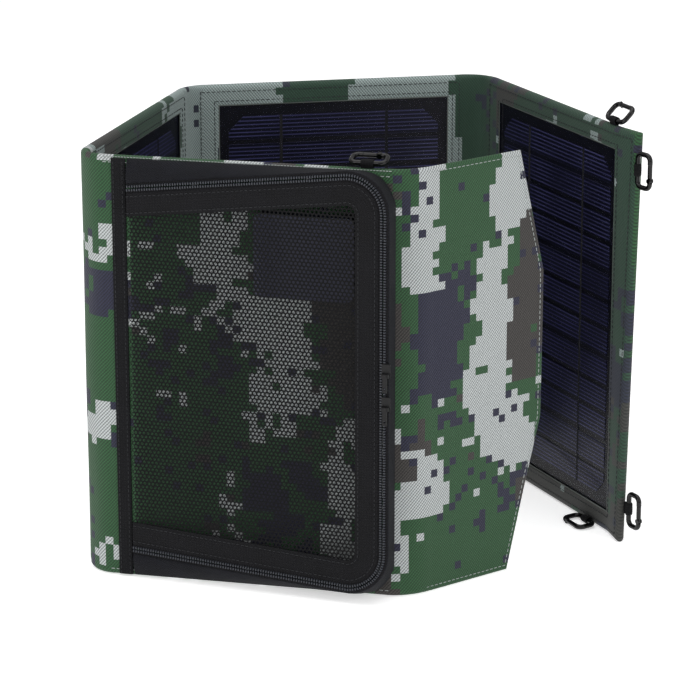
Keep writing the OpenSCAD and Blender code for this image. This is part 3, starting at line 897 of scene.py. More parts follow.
class Stitch(Enum):
    """The stitches, each with its spacing, its length and its thread's width in millimetres."""

    HEM = (3.0, 2.0, 0.45)
    WEBBING = (2.6, 1.6, 0.4)
    EDGE = (1.7, 1.3, 0.5)
    FOOT = (3.2, 2.2, 0.4)


def stitches(
    name: str, lines: Sequence[tuple[Array, Array]], finish: Finish, slot: Slot,
    kind: Stitch = Stitch.HEM,
) -> bpy.types.Object:
    """A row of stitches: small tapered bricks lying along each line.

    Args:
        name: the piece's name.
        lines: each line's points in metres, and the way out of the cloth.
        finish: the thread.
        slot: the record's slot.
        kind: the stitch.

    Returns:
        The piece.
    """
    pitch, length, width = kind.value
    unit = brick(length, width, 0.3)
    all_points, all_faces, used = [], [], 0
    for line, out in lines:
        spots, way = along(line, pitch, pitch / 2)
        out = np.broadcast_to(out / np.linalg.norm(out), way.shape)
        side = np.cross(out, way)
        points, faces = repeated(unit, BRICK_FACES, spots, np.stack([way, side, out], 1))
        all_points.append(points)
        all_faces.append(faces + used)
        used += len(points)
    return make_piece(
        name, np.concatenate(all_points), np.concatenate(all_faces), None, finish, slot
    )


def hermite(p0: Array, p1: Array, d0: Array, d1: Array, t: Array) -> Array:
    """Cubic curve from p0 to p1 with end slopes d0 and d1.

    Args:
        p0: its first point.
        p1: its last point.
        d0: its slope at the first point.
        d1: its slope at the last point.
        t: shares of the way, from 0 to 1.

    Returns:
        One point for each share.
    """
    t = t[:, None]
    return (
        (2 * t**3 - 3 * t**2 + 1) * p0
        + (t**3 - 2 * t**2 + t) * d0
        + (3 * t**2 - 2 * t**3) * p1
        + (t**3 - t**2) * d1
    )


# ---------- panels ----------


def quiet(depth: float, phase: float, sizes: Sizes) -> Sag:
    """Cloth relief: depth times a sum of slow waves, zero on the panel's edges.

    Args:
        depth: its height in millimetres.
        phase: where its waves start, different for each panel.
        sizes: the charger's sizes.

    Returns:
        A function of s and z.
    """

    def relief(s: Array, z: Array) -> Array:
        """The relief at some points.

        Args:
            s: distances along the panel.
            z: heights.

        Returns:
            The relief in millimetres.
        """
        edge = np.clip(np.minimum(z, sizes.height - z) / 14, 0, 1)
        side = np.clip((np.minimum(s, sizes.width - s) - sizes.reach) / 14, 0, 1)
        waves = np.sin(s / 17 + phase) * np.sin(z / 29 + 2 * phase) + 0.5 * np.sin(
            s / 7.3 + z / 19 + phase
        )
        return depth * waves * edge * side

    return relief


@dataclass
class CellPanel:
    """A panel with a module behind a sewn frame: panels B, C and D."""

    key: str
    plane: Plane
    sizes: Sizes
    finishes: Finishes
    free: bool = False
    twist_foot: float = 3.6
    twist_rise: float = -6.4
    relief: float = 0.25
    ribbon_w: float = 1.8
    ribbon_rise: float = 0.16
    ribbon_y: float = 1.82
    ribbon_margin: float = 7.5
    lip_w: float = 0.55
    lip_y: tuple[float, float] = (2.22, 2.62)
    stitch_y: float = 3.12
    hem_inset: tuple[float, float] = (3.0, 4.0)
    window_inset: float = 2.4

    @property
    def body(self) -> str:
        """The body that the panel's pieces ride on."""
        return f"panel_{self.key}"

    def ends(self) -> tuple[float, float]:
        """The rigid stretch of the panel along s."""
        reach = self.sizes.reach
        return (self.sizes.free_s if self.free else reach, self.sizes.width - reach)

    def curl(self, s: Array, z: Array) -> Array:
        """The free hem's twist: it leans inwards at the bottom and outwards at the top.

        Args:
            s: distances along the panel.
            z: heights.

        Returns:
            The shift along y at each point, in millimetres.
        """
        if not self.free:
            return np.zeros_like(s)
        hem = self.sizes.window_s - self.sizes.free_s
        away = np.clip((self.sizes.window_s - s) / hem, 0, 1)
        return away * (self.twist_foot + self.twist_rise * z / self.sizes.height)

    def rings(self) -> list[Ring]:
        """The frame's lip, the hem's half circle and the outer face.

        Returns:
            Rectangles from the inner side over the edge to the outer side.
        """
        low, high = self.ends()
        left, right = self.sizes.window_s - low, self.sizes.window_s - (self.sizes.width - high)
        up, half = self.sizes.window_z, self.sizes.half
        inner = [
            Ring(left, right, up, 2.25),
            Ring(left - 0.1, right - 0.1, up - 0.1, 2.9),
            Ring(left - 0.8, right - 0.8, up - 0.8, 3.15),
            Ring(left - 2.5, right - 2.5, up - 2.5, 3.0),
            Ring(max(left - 6, 1.0), max(right - 6, 1.0), up - 5.5, 3.1),
        ]
        over = [Ring(r.left if self.free else 0.0, 0.0, r.up, r.y) for r in rounded_edge(half)]
        outer = [Ring(6, 2, 6, -3.1), Ring(12, 6, 12, -3.15)]
        return inner + over + outer

    def build(self) -> None:
        """Makes the panel's cloth, ribbons, window lip and stitches."""
        points, faces, cloth = ring_shell(
            self.plane, self.rings(), self.ends(), self.sizes.height,
            quiet(self.relief, ord(self.key), self.sizes), (False, True), curl=self.curl,
        )
        # The cloth takes the print's copy with painted shade; face_outwards gives its outer faces
        # the full colour.
        shell = make_piece(
            f"canvas_{self.key}", points, faces, cloth, self.finishes.camo_painted_shade, Slot.CAMO, 1e-6
        )
        self.face_outwards(shell)
        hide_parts(f"cover_{self.key}", f"window_{self.key}")
        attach(shell, self.body)
        self.build_ribbons()
        self.build_lip()
        self.build_stitches()

    def face_outwards(self, shell: bpy.types.Object) -> None:
        """Gives the faces on the panel's outer side the print's full colour; the other faces keep
        the copy with painted shade.

        Args:
            shell: the panel's cloth.
        """
        centres = np.empty(3 * len(shell.data.polygons), np.float32)
        shell.data.polygons.foreach_get("center", centres)
        depth = (centres.reshape(-1, 3) - self.plane.at(0, 0, 0)) @ self.plane.way(0, 1)
        shell.data.materials.append(self.finishes.camo.material)
        shell.data.polygons.foreach_set("material_index", (depth < 0).astype(np.int32))

    def build_ribbons(self) -> None:
        """Two flat ribbons up the module, over the cell strips."""
        foot = self.sizes.window_z + self.ribbon_margin
        unit = brick(self.ribbon_w, self.ribbon_rise, self.sizes.height - 2 * foot, 1.0)
        s = self.sizes.width / 2 + np.array([-0.5, 0.5]) * self.sizes.ribbon_pitch
        base = self.plane.at(s, self.ribbon_y, foot)
        axes = np.stack([self.plane.way(1, 0), self.plane.way(0, 1), np.array([0, 0, 1.0])])
        points, faces = repeated(unit, BRICK_FACES, base, np.broadcast_to(axes, (2, 3, 3)))
        ribbons = make_piece(
            f"ribbons_{self.key}", points, faces, None, self.finishes.ribbon, Slot.CELL
        )
        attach(ribbons, self.body)

    def build_lip(self) -> None:
        """A painted highlight: a thin pale line just inside the frame, where its inner edge
        catches the light.
        """
        low, high = self.sizes.window_s, self.sizes.width - self.sizes.window_s
        z0, z1 = self.sizes.window_z, self.sizes.height - self.sizes.window_z
        corner = np.array([[low, z0], [high, z0], [high, z1], [low, z1]])
        inside = corner + np.array([[1, 1], [-1, 1], [-1, -1], [1, -1]]) * self.lip_w
        rim = np.concatenate([corner, inside])
        points = np.concatenate([self.plane.at(rim[:, 0], y, rim[:, 1]) for y in self.lip_y])
        sides = [[k, (k + 1) % 4] for k in range(4)]
        walls = ((0, 4), (12, 8), (8, 0), (4, 12))
        faces = [[a + m, b + m, b + n, a + n] for m, n in walls for a, b in sides]
        edge_highlight = make_piece(
            f"window_edge_highlight_{self.key}", points, faces, None, self.finishes.edge_highlight, Slot.BACK
        )
        edge_highlight.data.shade_flat()
        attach(edge_highlight, self.body)

    def build_stitches(self) -> None:
        """Two rows of stitches round the frame: near the hem and near the window.

        The hem's row runs on past the panel's rigid stretch where a fold joins it.
        """
        low, high = self.ends()
        window = self.sizes.window_s - low, self.sizes.window_z
        near_window = tuple(v - self.window_inset for v in window)
        rows = []
        for inset_s, inset_z in (self.hem_inset, near_window):
            s0, s1 = low + inset_s, high - (inset_s if inset_s > 5 else -1.0)
            z0, z1 = inset_z, self.sizes.height - inset_z
            path = np.array([[s0, z0], [s1, z0], [s1, z1], [s0, z1], [s0, z0]])
            for a, b in zip(path[:-1], path[1:]):
                t = np.linspace(0, 1, 24)
                s, z = a[0] + (b[0] - a[0]) * t, a[1] + (b[1] - a[1]) * t
                line = self.plane.at(s, self.stitch_y + self.curl(s, z), z)
                rows.append((line, self.plane.way(0, 1)))
        seam = stitches(
            f"frame_stitches_{self.key}", rows, self.finishes.thread_dark, Slot.CAMO
        )
        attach(seam, self.body)


@dataclass
class FrontPanel:
    """Panel A: canvas on both sides of its board."""

    plane: Plane
    sizes: Sizes
    finishes: Finishes
    relief: float = 0.18
    stitch_y: float = 3.1
    hem_inset: float = 3.5

    def build(self) -> None:
        """Makes the canvas shell and its stitches."""
        low, high = self.sizes.reach, self.sizes.width - self.sizes.reach
        inner = [Ring(6, 6, 12, 3.15), Ring(2, 2, 6, 3.1)]
        over = [Ring(0.0, 0.0, r.up, r.y) for r in rounded_edge(self.sizes.half)]
        outer = [Ring(2, 2, 6, -3.05), Ring(6, 6, 12, -3.05)]
        points, faces, cloth = ring_shell(
            self.plane, inner + over + outer, (low, high), self.sizes.height,
            quiet(self.relief, 1.3, self.sizes), (True, True),
        )
        shell = make_piece("canvas_a", points, faces, cloth, self.finishes.camo, Slot.CAMO, 1e-6)
        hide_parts("cover_a", "lining_a")
        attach(shell, "panel_a")
        rows = []
        for side in (-1.0, 1.0):
            for z in (self.hem_inset, self.sizes.height - self.hem_inset):
                line = self.plane.at([low, high], side * self.stitch_y, [z, z])
                rows.append((line, np.array([0, side, 0.0])))
        seam = stitches("hem_stitches_a", rows, self.finishes.thread_pale, Slot.CAMO)
        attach(seam, "panel_a")
        edge = self.plane.at([low, high], -2.25, self.sizes.height - 0.8)
        piping = stitches(
            "top_edge_stitches_a", [(edge, np.array([0, -0.7, 0.7]))],
            self.finishes.thread_pale, Slot.CAMO, Stitch.EDGE,
        )
        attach(piping, "panel_a")


@dataclass
class Fold:
    """Soft cloth across a fold: a slab that follows a curve from one panel to the next."""

    name: str
    node: str
    first: Plane
    second: Plane
    first_s: float
    second_s: float
    bodies: tuple[str, str]
    rests_on: tuple[str, str]
    sizes: Sizes
    finish: Finish
    first_half: float = 3.0
    second_half: float = 3.0
    middle_half: float = 1.5
    second_y: float = 0.0
    pull: float = 1.0
    slack: float = 0.0

    def build(self) -> None:
        """Carries a rounded slab along the curve.

        The centre line is a cubic from first_s on the first panel to second_s on the second, both
        running towards the fold, and the half thickness falls to middle_half between them.
        """
        steps, around = 26, 40
        t = np.linspace(0, 1, steps)
        middle_s = self.sizes.width / 2
        leave = 1.0 if self.first_s > middle_s else -1.0
        arrive = 1.0 if self.second_s < middle_s else -1.0
        p0 = self.first.at(self.first_s, 0, 0)
        p1 = self.second.at(self.second_s, self.second_y, 0)
        span = np.linalg.norm(p1 - p0) * self.pull
        centre = hermite(
            p0, p1, self.first.way(leave, 0) * span, self.second.way(arrive, 0) * span, t
        )
        way = np.gradient(centre, axis=0)
        way /= np.linalg.norm(way, axis=1, keepdims=True)
        normal = np.stack([-way[:, 1], way[:, 0], 0 * way[:, 0]], -1)
        bell = np.sin(math.pi * t) ** 2
        half = self.first_half + (self.second_half - self.first_half) * t
        half = half + (self.middle_half - half) * bell
        sweep = np.linspace(0, 1, around // 2)
        height = self.sizes.height
        edge = self.middle_half + 1.0
        z_side = edge + (height - 2 * edge) * sweep
        cap = np.linspace(0, math.pi, 9)[1:-1]
        flat, top = np.ones(around // 2), edge * np.sin(cap)
        across = np.concatenate([flat, np.cos(cap), -flat, -np.cos(cap)])
        up = np.concatenate([z_side, height - edge + top, z_side[::-1], edge - top])
        wave = self.slack * np.sin(up / 23.0) * np.clip(np.minimum(up, height - up) / 20, 0, 1)
        points = centre[:, None] + normal[:, None] * (
            (half[:, None] * across[None])[..., None] + (bell[:, None] * wave[None])[..., None]
        ) * MM
        points[..., 2] = up[None] * MM
        length = run_of(centre)
        u0, u1 = self.first.cloth_s + self.first_s, self.second.cloth_s + self.second_s
        cloth = cloth_of((u0 + (u1 - u0) * length / length[-1]) * MM, up * MM)
        piece = make_piece(
            self.name, points, capped(*points.shape[:2]), cloth, self.finish, Slot.INNER
        )
        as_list(self.rests_on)
        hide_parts(self.node)
        start, end = p0.copy(), p1.copy()
        start[2] = end[2] = height / 2 * MM
        tuple(start)
        tuple(end)
        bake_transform(piece)


@dataclass
class ClosingFlap:
    """The closing flap: one soft tongue with cut corners, a stitched edge and a hook tape."""

    plane: Plane
    sizes: Sizes
    finishes: Finishes
    length: float = 89.0
    shoulder_low: float = 66.0
    shoulder_high: float = 72.0
    cut_low: float = 84.0
    cut_high: float = 68.0
    start_s: float = 12.0
    half: float = 1.15
    rounding: float = 1.6
    middle_y: float = -1.0
    wave: float = 0.4
    stitch_inset: float = 2.8

    def tip(self, z: Array, inset: float = 0.0) -> Array:
        """The flap's free edge at height z: its shoulders, and two slants up to its length.

        Args:
            z: heights.
            inset: how far inside the edge the line lies.

        Returns:
            The line's s at each height.
        """
        top = self.sizes.height
        return np.interp(
            z, [0, self.cut_low, top - self.cut_high, top],
            [self.shoulder_low, self.length, self.length, self.shoulder_high],
        ) - inset

    def build(self) -> None:
        """Makes the flap as a closed slab on a grid, with its stitches and its tape.

        Point = (s0 + (tip(z) - s0) p, bend(s, z) +- half, z); half falls to 0 on three edges.
        """
        count_s, count_z = 40, 90
        edge = 1 - np.cos(np.linspace(0, math.pi / 2, 7))
        p = np.concatenate([np.linspace(0, 0.965, count_s), 1 - 0.03 * edge[::-1]])
        q = np.concatenate(
            [0.012 * edge, np.linspace(0.02, 0.98, count_z), 1 - 0.012 * edge[::-1]]
        )
        pp, qq = np.meshgrid(p, q, indexing="ij")
        z = qq * self.sizes.height
        s = self.start_s + (self.tip(z) - self.start_s) * pp
        gap = np.minimum(
            np.minimum(z, self.sizes.height - z), np.maximum(self.tip(z) - s, 0)
        )
        half = self.half * np.sqrt(1 - (1 - np.clip(gap / self.rounding, 0, 1)) ** 2)
        middle = self.bend(s, z)
        faces_all, points, cloth = [], [], []
        for side in (-1, 1):
            points.append(self.plane.at(s, middle + side * half, z).reshape(-1, 3))
            cloth.append(self.plane.cloth(s, z).reshape(-1, 3))
            faces_all.append(grid_faces(*s.shape, False, s.size * len(faces_all)))
        k = np.arange(s.shape[1] - 1)
        faces_all.append(np.stack([k, k + 1, k + 1 + s.size, k + s.size], -1))
        flap = make_piece(
            "flap_canvas", np.concatenate(points), np.concatenate(faces_all),
            np.concatenate(cloth), self.finishes.camo, Slot.CAMO, 2e-6,
        )
        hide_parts("flap_cover", "flap_lining")
        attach(flap, "flap")
        self.build_stitches()
        dress("hook_tape", self.finishes.tape)

    def bend(self, s: Array, z: Array) -> Array:
        """The flap's middle surface: off its plane by a soft wave that grows to the tip."""
        return self.middle_y + self.wave * np.sin(z / 31.0) * np.clip((s - 14) / 40, 0, 1)

    def build_stitches(self) -> None:
        """A row of stitches just inside the free edge, on both sides."""
        inset, top = self.stitch_inset, self.sizes.height
        z = np.concatenate(
            [np.full(20, inset), np.linspace(inset, top - inset, 80), np.full(20, top - inset)]
        )
        reach = np.concatenate([np.linspace(-1, 1, 20), np.ones(80), np.linspace(1, -1, 20)])
        low = np.full_like(z, self.start_s - 4)
        tip = self.tip(z, inset)
        s = low + (tip - low) * (reach + 1) / 2
        rows = []
        for side in (-1, 1):
            line = self.plane.at(s, self.bend(s, z) + side * (self.half - 0.03), z)
            rows.append((line, self.plane.way(0, side)))
        seam = stitches("flap_stitches", rows, self.finishes.thread_pale, Slot.CAMO)
        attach(seam, "flap")


# ---------- mesh pocket ----------


@dataclass
class Pocket:
    """The wedge-shaped mesh pocket on panel A, with its zip: a cover that leans off the panel.

    The cover starts at cover_s and stands depth_left off the canvas there, and depth_right at its
    right edge; inset_left and inset_right are its edges' heights over the panel's at each end.
    """

    plane: Plane
    sizes: Sizes
    finishes: Finishes
    cover_s: float = 24.5
    depth_left: float = 2.0
    depth_right: float = 16.5
    width: float = 142.5
    inset_left: float = 16.8
    inset_right: float = 5.1
    lift: float = 4.8
    seam: float = 1.2
    corner: float = 20.0
    border: float = 12.5
    stitch_insets: tuple[float, float] = (1.6, 1.8)
    half_gap: float = 0.3
    zip_w: float = 2.5
    start: float = 0.6
    net_pitch: float = 2.35
    net_hole: float = 0.62
    net_sag: float = 0.78
    tooth_pitch: float = 1.45
    tooth_inset: float = 0.65
    tooth: tuple[float, float, float] = (0.8, 1.5, 0.75)
    fade_height: float = 26.0
    gusset_wall: float = 0.6
    gusset_depth: float = 17.0
    band_s: float = 20.2
    band_half: tuple[float, float] = (4.0, 0.75)
    band_stitches: tuple[float, float] = (17.6, 22.6)
    band_margin: float = 1.2

    @property
    def lean(self) -> float:
        """The lean of the cover in radians."""
        return math.atan((self.depth_right - self.depth_left) / self.width)

    @property
    def length(self) -> float:
        """The cover's length along its own plane."""
        return self.width / math.cos(self.lean)

    @property
    def zip_edge(self) -> float:
        """How far the zip tapes' outer edges lie from the middle of the zip."""
        return self.half_gap + self.zip_w

    def outline(self, inset: float, count: int = 26) -> Array:
        """The cover's outline, inset: two slanting lines that meet a right edge in round corners.

        Args:
            inset: how far inside the cover's edge the line lies.
            count: points on each slanting line.

        Returns:
            Points (u, z), from the lower left round to the upper left.
        """
        height, end = self.sizes.height, self.length - self.corner
        turn = np.linspace(-math.pi / 2, 0, 14)
        radius = self.corner - inset
        u = np.linspace(self.start, end, count)
        low = self.inset_left + (self.inset_right - self.inset_left) * u / end + inset
        corner_u = end + radius * np.cos(turn)
        corner_z = self.inset_right + self.corner + radius * np.sin(turn)
        shoulder = self.inset_right + self.corner
        right_z = np.linspace(shoulder, height - shoulder, 40)[1:-1]
        lower = np.column_stack(
            [np.concatenate([u, corner_u[1:]]), np.concatenate([low, corner_z[1:]])]
        )
        right = np.column_stack([np.full(len(right_z), self.length - inset), right_z])
        upper = lower[::-1] * (1, -1) + (0, height)
        line = np.concatenate([lower, right, upper])
        return line + np.column_stack([np.zeros(len(line)), self.lift * line[:, 0] / self.length])

    def at(self, u: Array, y: Array, z: Array) -> Array:
        """Places points of the cover's leaning plane: u along it, y through it and z up.

        s = cover_s + u cos(lean) + y sin(lean), and y = -half - depth_left - u sin + y cos.

        Args:
            u: distances along the cover.
            y: distances through it.
            z: heights.

        Returns:
            An array of points, one row for each.
        """
        c, s = math.cos(self.lean), math.sin(self.lean)
        u, y, z = np.broadcast_arrays(np.asarray(u, float), y, z)
        return self.plane.at(
            self.cover_s + u * c + y * s, -self.sizes.half - self.depth_left - u * s + y * c, z
        )

    def out(self) -> Array:
        """The way out of the cover."""
        way = self.at(0, -1, 0) - self.at(0, 0, 0)
        return way / np.linalg.norm(way)

    def band(
        self, name: str, edge: float, inner: float, y: float, rise: float,
        finish: Finish, slot: Slot,
    ) -> bpy.types.Object:
        """A closed band along the outline: a flat oval profile from inset edge to inset inner.

        Args:
            name: the piece's name.
            edge: the outer inset.
            inner: the inner inset.
            y: the band's back, in the cover's plane.
            rise: its thickness.
            finish: its finish.
            slot: the record's slot.

        Returns:
            The piece.
        """
        outer_line, inner_line = self.outline(edge), self.outline(inner)
        forth = np.linspace(0, 1, 6)
        share = np.concatenate([forth, np.linspace(1, 0, 6)])
        crown = y - rise * (0.75 + 0.25 * np.sin(math.pi * forth))
        depth = np.concatenate([crown, np.full(6, y)])
        flat = outer_line[:, None] + (inner_line - outer_line)[:, None] * share[None, :, None]
        points = self.at(flat[..., 0], depth[None], flat[..., 1])
        cloth = cloth_of(run_of(outer_line) * MM, share * (inner - edge) * MM)
        return make_piece(name, points, capped(*flat.shape[:2]), cloth, finish, slot)

    def build(self) -> None:
        """Makes the band, gusset, border, net, zip and stitches."""
        self.build_band()
        self.build_gusset()
        self.build_hem()
        self.build_border()
        self.build_net()
        self.build_zip()

    def build_band(self) -> None:
        """The sewn band at the left: a flat bar with rounded long edges."""
        ends = [self.band_margin, self.sizes.height - self.band_margin]
        line = self.plane.at(self.band_s, -3.05, np.linspace(*ends, 60))
        turn = np.linspace(0, math.tau, 17)[:-1]
        wide, high = self.band_half
        across = wide * np.sign(np.cos(turn)) * np.abs(np.cos(turn)) ** 0.35
        profile = np.column_stack([across, high * np.sin(turn) + 0.45]) * MM
        side = np.broadcast_to([1.0, 0, 0], line.shape)
        out = np.broadcast_to([0, -1.0, 0], line.shape)
        points, faces = tube_along(line, side, out, profile)
        piece = make_piece(
            "pocket_band", points, faces, points[:, [2, 0, 1]], self.finishes.webbing, Slot.WEBBING
        )
        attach(piece, "panel_a")
        rows = [(self.plane.at([s, s], -4.22, ends), out[0]) for s in self.band_stitches]
        seam = stitches(
            "band_stitches", rows, self.finishes.thread_dark, Slot.WEBBING, Stitch.WEBBING
        )
        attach(seam, "panel_a")

    def build_gusset(self) -> None:
        """The gusset: cloth from its seam on the panel to the zip, bowed a little outwards.

        Point(i, v) = seam_i + (zip_i - seam_i) v, plus a bow of sin(pi v) across it.
        """
        top = self.outline(-self.zip_edge)
        height = self.sizes.height
        seam_u = np.minimum(top[:, 0], self.width + self.zip_w)
        seam_low = np.where(np.arange(len(top)) < len(top) / 2, 1.0, -1.0)
        turn = np.clip((top[:, 0] - (self.length - self.corner)) / self.corner, 0, 1)
        level = top[:, 1] - self.lift * top[:, 0] / self.length
        rise = np.minimum(level, height - level)
        fading = self.seam + (rise - self.inset_right + self.zip_edge) * turn
        edge = np.where(rise < self.fade_height, fading, rise)
        edge = np.where(turn > 0, np.minimum(edge, rise), self.seam)
        foot_z = np.where(seam_low > 0, edge, height - edge)
        foot = self.plane.at(self.cover_s + seam_u, -self.sizes.half - 0.1, foot_z)
        head = self.at(top[:, 0], -0.6, top[:, 1])
        v = np.linspace(0, 1, 9)
        points = foot[:, None] + (head - foot)[:, None] * v[None, :, None]
        flat_share = 1 - turn
        bow = np.sin(math.pi * v)[None] * (0.5 + 0.9 * flat_share[:, None])
        away = np.stack([0.5 * turn, -(1 - 0.6 * turn), -0.3 * seam_low * turn], -1)
        points = points + away[:, None] * bow[..., None] * MM
        run = run_of(foot)
        piece = make_piece(
            "pocket_gusset_cloth", points, grid_faces(*points.shape[:2]),
            cloth_of(run, v * self.gusset_depth * MM), self.finishes.gusset, Slot.WEBBING,
        )
        wall = piece.modifiers.new("thickness", "SOLIDIFY")
        wall.thickness, wall.offset = self.gusset_wall * MM, 0.0
        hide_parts("pocket_gusset")
        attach(piece, "panel_a")

    def build_hem(self) -> None:
        """A pale row of stitches along the foot of the gusset, at its lower edge."""
        s = np.array([26.0, 96.0])
        out = np.array([0, -1.0, -0.35])
        seam = stitches(
            "gusset_stitches", [(self.plane.at(s, -3.75, 2.6), out)], self.finishes.thread_pale,
            Slot.WEBBING, Stitch.FOOT,
        )
        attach(seam, "panel_a")

    def build_border(self) -> None:
        """The cover's webbing border with its two rows of stitches."""
        edge = self.zip_edge
        border = self.band(
            "pocket_border_webbing", edge - 0.3, edge + self.border, -0.1, 1.15,
            self.finishes.webbing, Slot.WEBBING,
        )
        run = float(run_of(self.outline(edge))[-1])
        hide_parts("pocket_border")
        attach(border, "pocket_cover")
        rows = []
        outer, inner = self.stitch_insets
        for inset in (edge + outer, edge + self.border - inner):
            line = self.outline(inset)
            rows.append((self.at(line[:, 0], -1.2, line[:, 1]), self.out()))
        seam = stitches(
            "border_stitches", rows, self.finishes.thread_dark, Slot.WEBBING, Stitch.WEBBING
        )
        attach(seam, "pocket_cover")

    def build_net(self) -> None:
        """The net: six-sided cells in staggered rows, each a flat ring of faces round its hole.

        Cell centres lie at (i + j mod 2 / 2) pitch and j pitch sqrt(3) / 2, and the whole net sags
        by sin(pi u) sin(pi z).
        """
        pitch, hole = self.net_pitch, self.net_hole
        inset = self.zip_edge + self.border - 2.0
        limit = self.outline(inset)
        low_z, high_z = limit[:, 1].min(), limit[:, 1].max()
        row_step = pitch * math.sqrt(3) / 2
        columns = int(self.length / pitch) + 2
        rows = int((high_z - low_z) / row_step) + 2
        i, j = np.meshgrid(np.arange(columns), np.arange(rows), indexing="ij")
        u = (i + 0.5 * (j % 2)).ravel() * pitch + 1.0
        z = low_z + j.ravel() * row_step
        half = len(limit) // 2
        lift = self.lift * u / self.length
        floor_z = np.interp(u, limit[:half, 0], limit[:half, 1])
        ceiling = self.sizes.height - floor_z + 2 * lift
        keep = (z > floor_z) & (z < ceiling) & (u < limit[:, 0].max()) & (u > 1.5)
        middle = self.sizes.height / 2
        reach = middle - self.inset_right - inset
        keep &= ~((u > self.length - self.corner + 1) & (np.abs(z - lift - middle) > reach))
        spots = np.column_stack([u[keep], z[keep]])
        turn = np.radians(np.arange(6) * 60 + 30)
        star = np.column_stack([np.cos(turn), np.sin(turn)]) * pitch / math.sqrt(3)
        unit = np.concatenate([star * 1.001, star * hole])
        flat = spots[:, None] + unit[None]
        sag = np.sin(math.pi * np.clip(flat[..., 0] / self.length, 0, 1)) * np.sin(
            math.pi * flat[..., 1] / self.sizes.height
        )
        points = self.at(flat[..., 0], -0.55 + sag * self.net_sag, flat[..., 1])
        ring = np.array([[k, (k + 1) % 6, 6 + (k + 1) % 6, 6 + k] for k in range(6)])
        faces = (ring[None] + (np.arange(len(spots)) * 12)[:, None, None]).reshape(-1, 4)
        cloth = np.stack([flat[..., 0] * MM, flat[..., 1] * MM, 0 * flat[..., 0]], -1)
        net = make_piece("pocket_net", points, faces, cloth, self.finishes.net, Slot.MESH, 3e-5)
        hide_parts("pocket_mesh")
        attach(net, "pocket_cover")
        wide, high = (float(np.ptp(v[keep])) * MM for v in (u, z))

    def build_zip(self) -> None:
        """Both zip tapes and their rows of coil teeth."""
        for name, node, body, side in (
            ("zip_tape_gusset", "zip_gusset_half", "panel_a", -1),
            ("zip_tape_cover", "zip_cover_half", "pocket_cover", 1),
        ):
            low, high = sorted((side * self.half_gap, side * self.zip_edge))
            tape = self.band(name, low, high, -0.35, 0.45, self.finishes.webbing, Slot.COIL)
            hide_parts(node)
            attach(tape, body)
            line = self.outline(side * (self.half_gap + self.tooth_inset))
            path = self.at(line[:, 0], -0.85, line[:, 1])
            spots, way = along(path, self.tooth_pitch, 0.4)
            out = np.broadcast_to(self.out(), way.shape)
            across = np.cross(out, way)
            unit = brick(*self.tooth, 0.7)
            points, faces = repeated(unit, BRICK_FACES, spots, np.stack([way, across, out], 1))
            teeth = make_piece(
                f"{name}_teeth", points, faces, None, self.finishes.coil, Slot.COIL
            )
            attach(teeth, body)


# ---------- carabiner loops and dressing ----------


@dataclass
class WebbingLoop:
    """A webbing loop round a carabiner's spine, sewn to a panel's edge."""

    key: str
    body: str
    eye: Array
    spine: Array
    away: Array
    finishes: Finishes
    shift: Array = field(default_factory=lambda: np.zeros(3))
    tail: float = 7.0
    radius: float = 1.8
    wrap: float = 150
    half_gap: float = 0.42
    band_half: tuple[float, float] = (3.4, 0.32)

    def build(self) -> bpy.types.Object:
        """Carries a flat band along a drop-shaped path: a circle round the spine, and two tails.

        Path(t) = eye + radius (cos t away + sin t across) for t from -wrap to wrap degrees, and
        then straight to the seam.

        Returns:
            The loop.
        """
        turn = np.radians(np.linspace(-self.wrap, self.wrap, 21))
        across = np.cross(self.spine, self.away)
        circle = self.eye + self.radius * MM * (
            np.cos(turn)[:, None] * self.away + np.sin(turn)[:, None] * across
        )
        lead = np.array([self.tail, self.tail * 0.6])[:, None]
        bent = self.shift * (lead / self.tail)
        part = across * self.half_gap * MM
        first = self.eye - self.away * lead * MM - part + bent
        last = self.eye - self.away * lead[::-1] * MM + part + bent[::-1]
        line = np.concatenate([first, circle, last])
        way = np.gradient(line, axis=0)
        way /= np.linalg.norm(way, axis=1, keepdims=True)
        side = np.broadcast_to(self.spine, line.shape)
        up = np.cross(way, side)
        bend = np.linspace(0, math.tau, 13)[:-1]
        wide, high = self.band_half
        profile = np.column_stack(
            [wide * np.sign(np.cos(bend)) * np.abs(np.cos(bend)) ** 0.4, high * np.sin(bend)]
        ) * MM
        points, faces = tube_along(line, side, up, profile)
        run = np.repeat(np.arange(len(line)) * 0.0012, len(profile))
        cloth = np.column_stack([run, np.tile(profile[:, 0], len(line)), 0 * run])
        loop = make_piece(
            f"loop_{self.key}", points, faces, cloth, self.finishes.webbing, Slot.WEBBING
        )
        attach(loop, self.body)
        return loop


def dress(node: str, finish: Finish) -> None:
    """Gives a carried-over node a finish.

    Args:
        node: the node's name.
        finish: its finish.
    """
    materials = bpy.data.objects[node].data.materials
    if not materials:
        materials.append(None)
    for k in range(len(materials)):
        materials[k] = finish.material
    LOG.info("%s dressed in %s", node, finish.name)


# How far the hem's twist moves a loop's seam through the panel, in millimetres.
HEM_SHIFT = {"d_upper": -2.0, "d_lower": 2.8}


